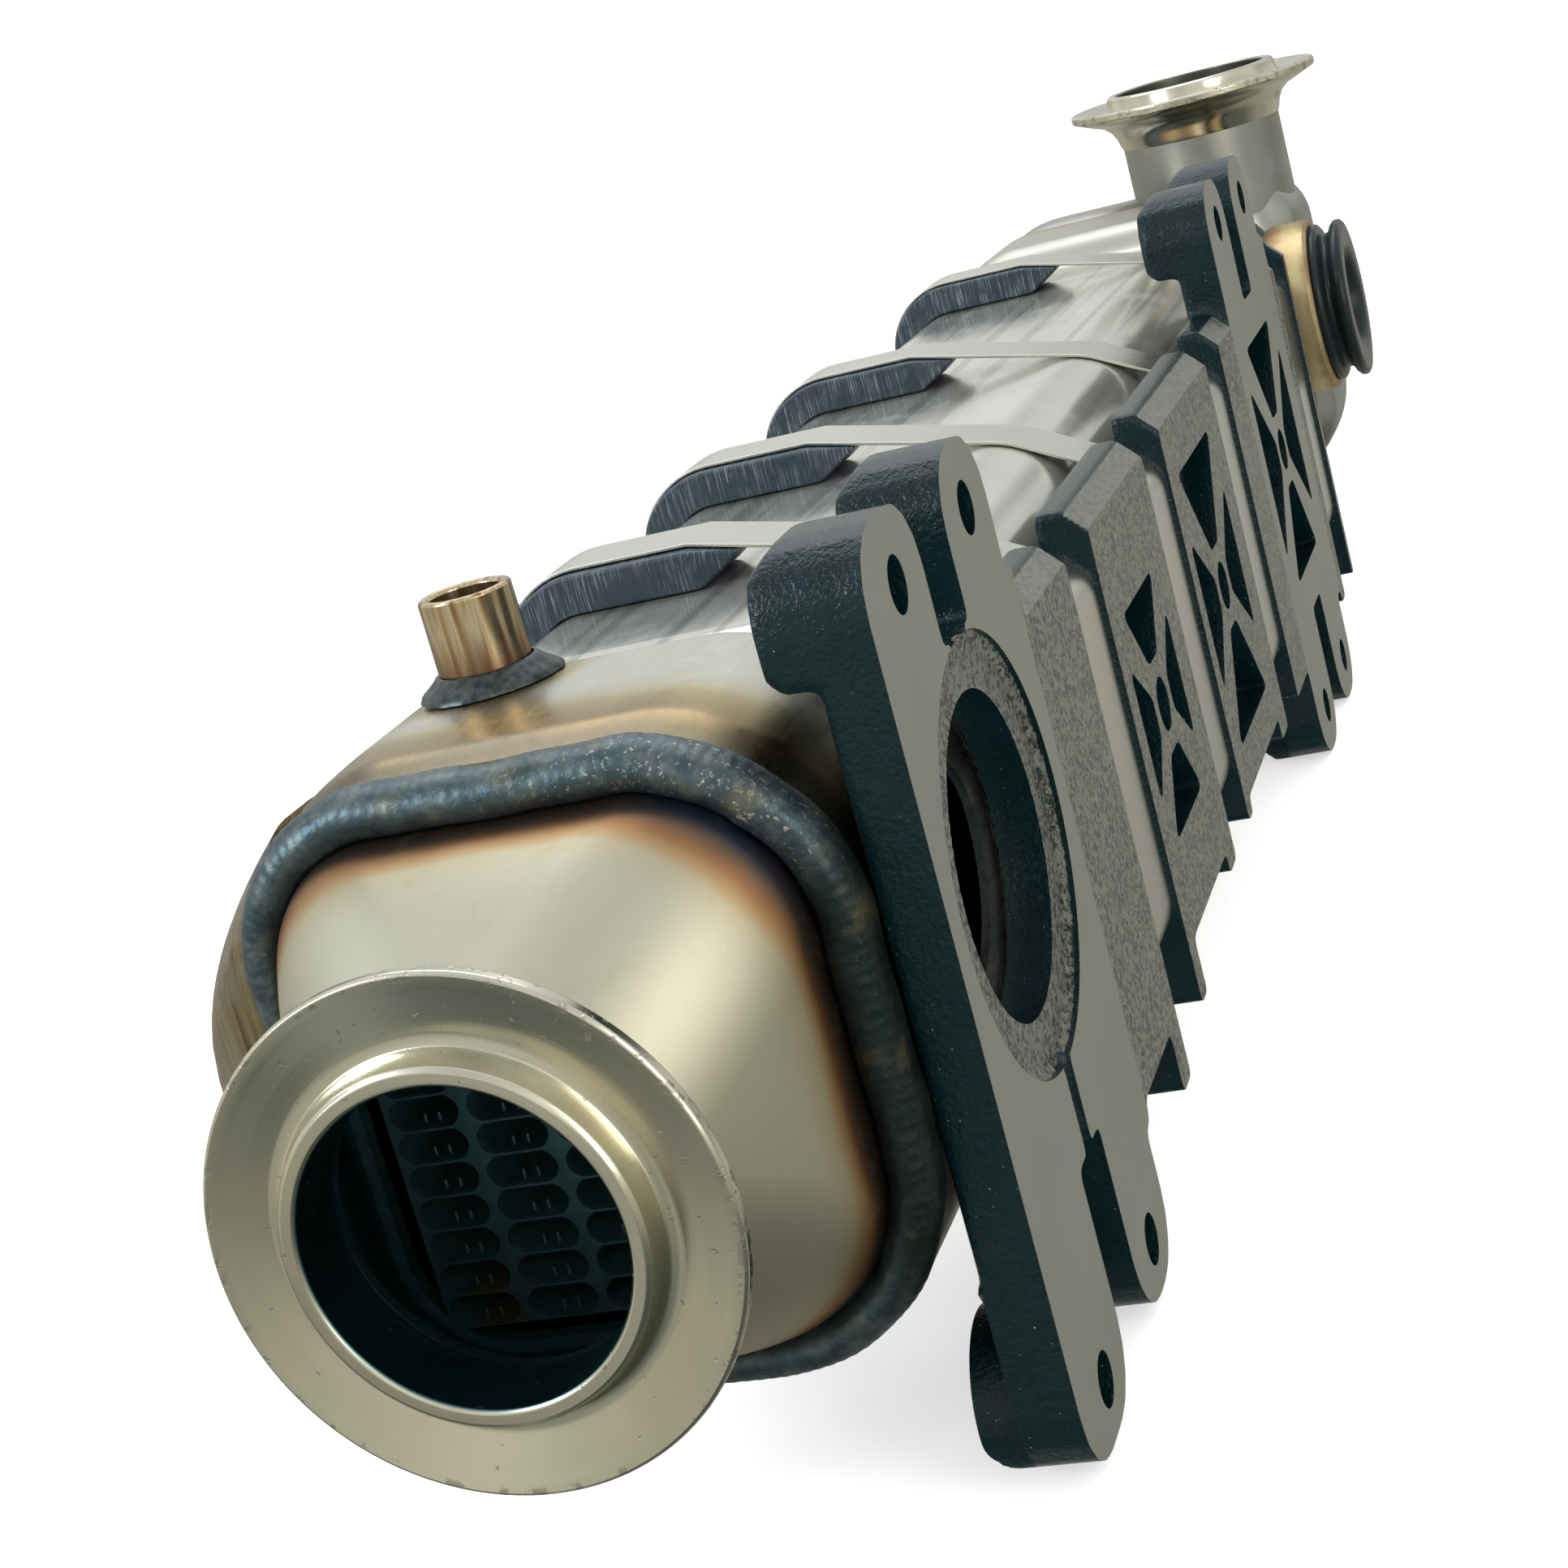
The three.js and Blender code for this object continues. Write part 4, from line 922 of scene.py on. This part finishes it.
def recast(name, node):
    """A copy of a CAD solid as it leaves the mould, with stock to machine off its +X side."""
    shape = bmesh.new()
    shape.from_mesh(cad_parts[node].data)
    bmesh.ops.remove_doubles(shape, verts=shape.verts, dist=1e-6)
    for vertex in shape.verts:
        if abs(vertex.co.x) < 1e-5:
            vertex.co.x += STOCK / 1000
            if abs(vertex.co.z * 1000 - RAIL_CHAMFER_LINE) < 0.3:
                vertex.co.z -= STOCK / 1000
    mesh = bpy.data.meshes.new(name)
    shape.to_mesh(mesh)
    shape.free()
    piece = placed(name, mesh)
    grid = piece.modifiers.new("casting_grid", "REMESH")
    grid.mode = "VOXEL"
    grid.voxel_size = CASTING_GRID / 1000
    soften = piece.modifiers.new("casting_rounds", "SMOOTH")
    soften.factor = 0.5
    soften.iterations = CASTING_ROUNDS
    settled(piece)
    return piece


bracket = recast("cast_mounting_bracket", "mounting_bracket")
mesh = bracket.data
count = len(mesh.vertices)
points = np.empty(count * 3, np.float32)
normals = np.empty(count * 3, np.float32)
mesh.vertices.foreach_get("co", points)
mesh.vertex_normals.foreach_get("vector", normals)
points = points.reshape(-1, 3).astype(float) * 1000
normals = normals.reshape(-1, 3)

# The cutters leave true recess floors, true holes and, last of all, one true face at X = 0.
for floor_x in RECESS_FLOORS:
    on_floor = (normals[:, 0] > 0.9) & (abs(points[:, 0] - floor_x) < 0.5)
    points[on_floor, 0] = floor_x


def from_axis(y, z):
    """Each point's direction and distance from an axis along X."""
    out = points[:, 1:] - (y, z)
    return out, np.maximum(np.linalg.norm(out, axis=1), 1e-6)


for y, z, radius, reach in [(*hole, HOLE_RADIUS, 1.0) for hole in BOLT_HOLES] + [
        (port_y, port_z, PORT_BORE, 1.2), (port_y, port_z, PORT_RING, 1.2)]:
    out, far = from_axis(y, z)
    facing = abs((normals[:, 1:] * out).sum(1) / far)
    bored = (abs(far - radius) < reach) & (facing > 0.45)
    bored &= (radius < PORT_RING) | (points[:, 0] > -2.4)
    points[bored, 1:] = np.array([y, z]) + (out / far[:, None] * radius)[bored]

# The lower ears carry round bosses behind the plate.
for y, z in BOLT_HOLES:
    out, far = from_axis(y, z)
    boss = (z < LOWER_EARS) & (points[:, 0] < BOSS_FROM) & (far > BOSS_RADIUS) & (far < BOSS_REACH)
    points[boss, 1:] = np.array([y, z]) + (out / far[:, None] * BOSS_RADIUS)[boss]
mesh.vertices.foreach_set("co", (points / 1000).astype(np.float32).ravel())
mesh.update()
slab = piece_of("face_cutter", [
    (x, y, z) for x in (0, 20) for y in (-60, 660) for z in (-200, 80)],
    [(0, 1, 3, 2), (4, 6, 7, 5), (0, 4, 5, 1), (2, 3, 7, 6), (0, 2, 6, 4), (1, 5, 7, 3)])
face_cut = bracket.modifiers.new("machined_face", "BOOLEAN")
face_cut.operation = "DIFFERENCE"
face_cut.solver = "MANIFOLD"
face_cut.object = slab
mesh = settled(bracket)
bpy.data.objects.remove(slab)
mesh.shade_smooth()
mesh.set_sharp_from_angle(angle=math.radians(38))

cast = Surface("painted_casting")
peel = cast.noise(0.85, 3.0, 0.6)
coarse = cast.noise(0.16, 3.0, 0.55, shift=3.0)
runs = cast.noise(0.05, 2.0, shift=8.0)
level = cast.step(cast.x, -0.5, -0.15) * cast.step(cast.facing("X"), 0.75, 0.92)
front_pad = 1.0 - cast.step(cast.y, 87.6, 88.4)
rear_pad = cast.step(cast.y, 447.6, 448.4) * (1.0 - cast.step(cast.y, 561.6, 562.4))
on_rail = 1.0 - (front_pad + rear_pad)
pad_face = level * (front_pad + rear_pad)
rail_face = level * on_rail
recess = cast.step(cast.x, -2.9, -2.4) * cast.step(cast.facing("X"), 0.75, 0.92) * (1.0 - level)
port_ring = recess * (1.0 - cast.step(
    cast.away_from(cast.y, cast.z, (port_y, port_z)), 47.8, 48.6))
pits = cast.noise(0.75, 4.0, 0.75, shift=6.0)
skim = cast.step(pits + 0.12 * (coarse - 0.5), 0.45, 0.52)
bare_rail = rail_face * (0.22 + 0.78 * skim)
bare_ring = port_ring * (0.55 + 0.25 * skim)
linished = cast.step(cast.facing("Z"), 0.55, 0.68) * cast.step(cast.facing("X"), 0.5, 0.65)
chamfer = linished * cast.step(cast.x, -6.4, -5.6) * cast.step(cast.z, -13.0, -12.2) * on_rail
milling = cast.drawn_out(1.0, 2.2, 0.06)
bare = pad_face + bare_rail + bare_ring + chamfer * (0.45 + 0.4 * skim)
# Painted glints: tiny pale specks scattered over the gloss black paint, standing for light caught
# by its orange peel.
painted_glints = cast.step(cast.noise(1.3, 2.0, shift=14.0), 0.725, 0.755)
gloss_black = cast.mix(coarse, (0.001, 0.009, 0.011), (0.003, 0.015, 0.018))
paint_and_glints = cast.mix(painted_glints * 0.8, gloss_black, (0.30, 0.36, 0.40))
iron = cast.mix(cast.noise(0.03, 3.0, shift=4.0), (0.27, 0.275, 0.24), (0.34, 0.34, 0.29))
dull_iron = cast.mix(skim, (0.05, 0.05, 0.045), (0.28, 0.28, 0.24))
metal = cast.mix(pad_face + chamfer, dull_iron, iron)
casting_skin = 0.42 * peel + 0.34 * coarse + 0.20 * runs
cast.finish(
    cast.mix(bare, paint_and_glints, metal),
    0.13 + 0.09 * coarse + bare * (0.25 + 0.10 * milling), metallic=bare * 0.85,
    bump=(1.0 - level) * casting_skin + rail_face * 0.25 * pits + pad_face * 0.010 * milling,
    Coat_Weight=0.0, Specular_IOR_Level=0.27)
fitted(bracket, cast, "casting_paint", "mounting_bracket")

# ------------------------------------------------------------------ strap pads
# A C of hard black rubber lies between each strap and the shell, cut to a wedge where the strap
# leaves it. Handling has drawn fine pale scratches over its faces.


def arc_of(cx, cz, r, start, end, steps):
    angles = np.radians(np.linspace(start, end, steps))
    return [(cx + r * math.cos(a), cz + r * math.sin(a)) for a in angles]


PAD_THICK = 10.0
GAP = 0.3
PAD_FLAT_END = 45.0
PAD_SLOPE = 0.205
WEDGE_TIP = 5.0
corner_x = SHELL[0] + LEFT_BEND
corner_top, corner_low = SHELL[3] - LEFT_BEND, SHELL[2] + LEFT_BEND
pad_rubber = Surface("scratched_pad_rubber")
scratches = 0.0
for lean, offset in [(0.75, 0.0), (0.35, 4.0), (-0.6, 9.0), (1.2, 15.0)]:
    across_them = pad_rubber.stretched(2.6, 0.05, 0.05, (0.0, lean, 0.0))
    lines = pad_rubber.noise(1.0, 2.0, at=across_them, shift=offset)
    scratches = scratches + pad_rubber.step(lines, 0.60, 0.645)
patchy = pad_rubber.step(pad_rubber.noise(0.12, 3.0, shift=12.0), 0.34, 0.60)
worn = scratches * patchy
dust = pad_rubber.noise(0.4, 4.0, 0.7)
dusty = pad_rubber.mix(dust, (0.006, 0.016, 0.026), (0.020, 0.042, 0.060))
pad_rubber.finish(
    pad_rubber.mix(worn * 0.42, dusty, (0.34, 0.38, 0.40)),
    0.30 + 0.25 * dust, metallic=0.0, bump=0.05 * dust - 0.05 * worn)
for number in (1, 2, 3, 4):
    low, high = span(f"strap_pad_{number}")
    inner, outer = LEFT_BEND + GAP, LEFT_BEND + GAP + PAD_THICK
    flat_end = SHELL[0] + PAD_FLAT_END
    outline = [(high[0], corner_top + outer - PAD_SLOPE * (high[0] - flat_end))]
    outline += [(flat_end, corner_top + outer)]
    outline += arc_of(corner_x, corner_top, outer, 90, 180, 14)
    outline += arc_of(corner_x, corner_low, outer, 180, 270, 14)
    outline += [(flat_end, corner_low - outer), (flat_end + 3, corner_low - inner)]
    outline += arc_of(corner_x, corner_low, inner, 270, 180, 14)
    outline += arc_of(corner_x, corner_top, inner, 180, 90, 14)
    outline += [(flat_end + 3, corner_top + inner)]
    outline = np.array(outline)
    n = len(outline)
    tip = np.zeros((n, 3))
    tip[0, 1] = WEDGE_TIP
    points = np.concatenate([at_y(outline, low[1]) + tip, at_y(outline, high[1]) - tip])
    faces = quads(2, n)
    for side in (0, n):
        faces += [tuple(side + i for i in range(1, n)), (side, side + 1, side + n - 1)]
    pad = eased(piece_of(f"strap_pad_{number}_rubber", points, faces, crisp=14), 0.9, angle=14)
    fitted(pad, pad_rubber, "pad_rubber", f"strap_pad_{number}")

# ------------------------------------------------------------------ straps
# Four bands of stainless strip hold the core to the bracket. Each runs over its pad, across the
# shell's shoulder and down a groove in the rail, and is pulled tight.
STRIP_THICK = 0.95
STRIP_BEND = 5.0
GROOVE_FLOOR, GROOVE_TOP, GROOVE_FOOT = -2.6, -23.7, -114.2
RAIL_TOP_EDGE = (-9, -17.4)
RAIL_FOOT_EDGE = (-7.5, -119)


def touch(point, centre, radius):
    """The angle at which a tangent from the point meets the circle, on its upper side."""
    out = np.subtract(point, centre)
    side = -1 if out[0] < 0 else 1
    return math.degrees(math.atan2(out[1], out[0]) + side * math.acos(radius / np.hypot(*out)))


def bent(line, reach):
    """Rounds each inner corner of a line, starting so many millimetres before it."""
    line = np.array(line, float)
    made = [line[0]]
    for before, here, after in zip(line, line[1:], line[2:]):
        back, on = before - here, after - here
        start = here + back * min(0.45, reach / np.hypot(*back))
        end = here + on * min(0.45, reach / np.hypot(*on))
        for t in np.linspace(0, 1, 6):
            made.append((1 - t) ** 2 * start + 2 * t * (1 - t) * here + t**2 * end)
    return made + [line[-1]]


def band(off):
    """The strap's line, so many millimetres outside its inner face."""
    clear = GAP + off
    pad_outer = PAD_THICK + GAP
    shoulder = (SHELL[1] - RIGHT_BEND, SHELL[3] - RIGHT_BEND)
    pad_end = (SHELL[0] + PAD_FLAT_END, SHELL[3] + pad_outer + clear)
    edge = (RAIL_TOP_EDGE[0] + 0.46 * clear, RAIL_TOP_EDGE[1] + 0.89 * clear)
    foot = (RAIL_FOOT_EDGE[0] + 0.4 * clear, RAIL_FOOT_EDGE[1] - 0.9 * clear)
    into, out_of = (touch(p, shoulder, RIGHT_BEND + clear) for p in (pad_end, edge))
    face = GROOVE_FLOOR + clear
    low = SHELL[2] - pad_outer - clear
    bend = LEFT_BEND + pad_outer + clear
    line = arc_of(corner_x, corner_top, bend, 180, 90, 14)
    line += [pad_end] + arc_of(*shoulder, RIGHT_BEND + clear, into, out_of, 9)
    line += bent([line[-1], edge, (face, GROOVE_TOP), (face, GROOVE_FOOT), foot,
                  (SHELL[0] + PAD_FLAT_END, low)], STRIP_BEND)[1:]
    line += arc_of(corner_x, corner_low, bend, 270, 180, 14)
    return np.array(line)


strip = Surface("satin_strap_steel")
rolled = strip.noise(1.0, 3.0, at=strip.stretched(0.05, 3.5, 0.05))
cloudy = strip.noise(0.05, 3.0, shift=2.0)
rub = strip.step(strip.noise(0.25, 4.0, 0.7, shift=5.0), 0.58, 0.75)
strip.finish(
    strip.mix(cloudy, (0.58, 0.58, 0.51), (0.66, 0.66, 0.59)),
    0.22 + 0.08 * rolled + 0.06 * rub, bump=0.010 * rolled + 0.01 * rub)
for number in (1, 2, 3, 4):
    low, high = span(f"strap_{number}")
    inside, outside = band(0), band(STRIP_THICK)
    loop = [at_y(inside, low[1]), at_y(outside, low[1]), at_y(outside, high[1]),
            at_y(inside, high[1])]
    strap = eased(skin(f"strap_{number}_band", loop, looped=True), 0.28, segments=2)
    fitted(strap, strip, "strap_steel", f"strap_{number}")
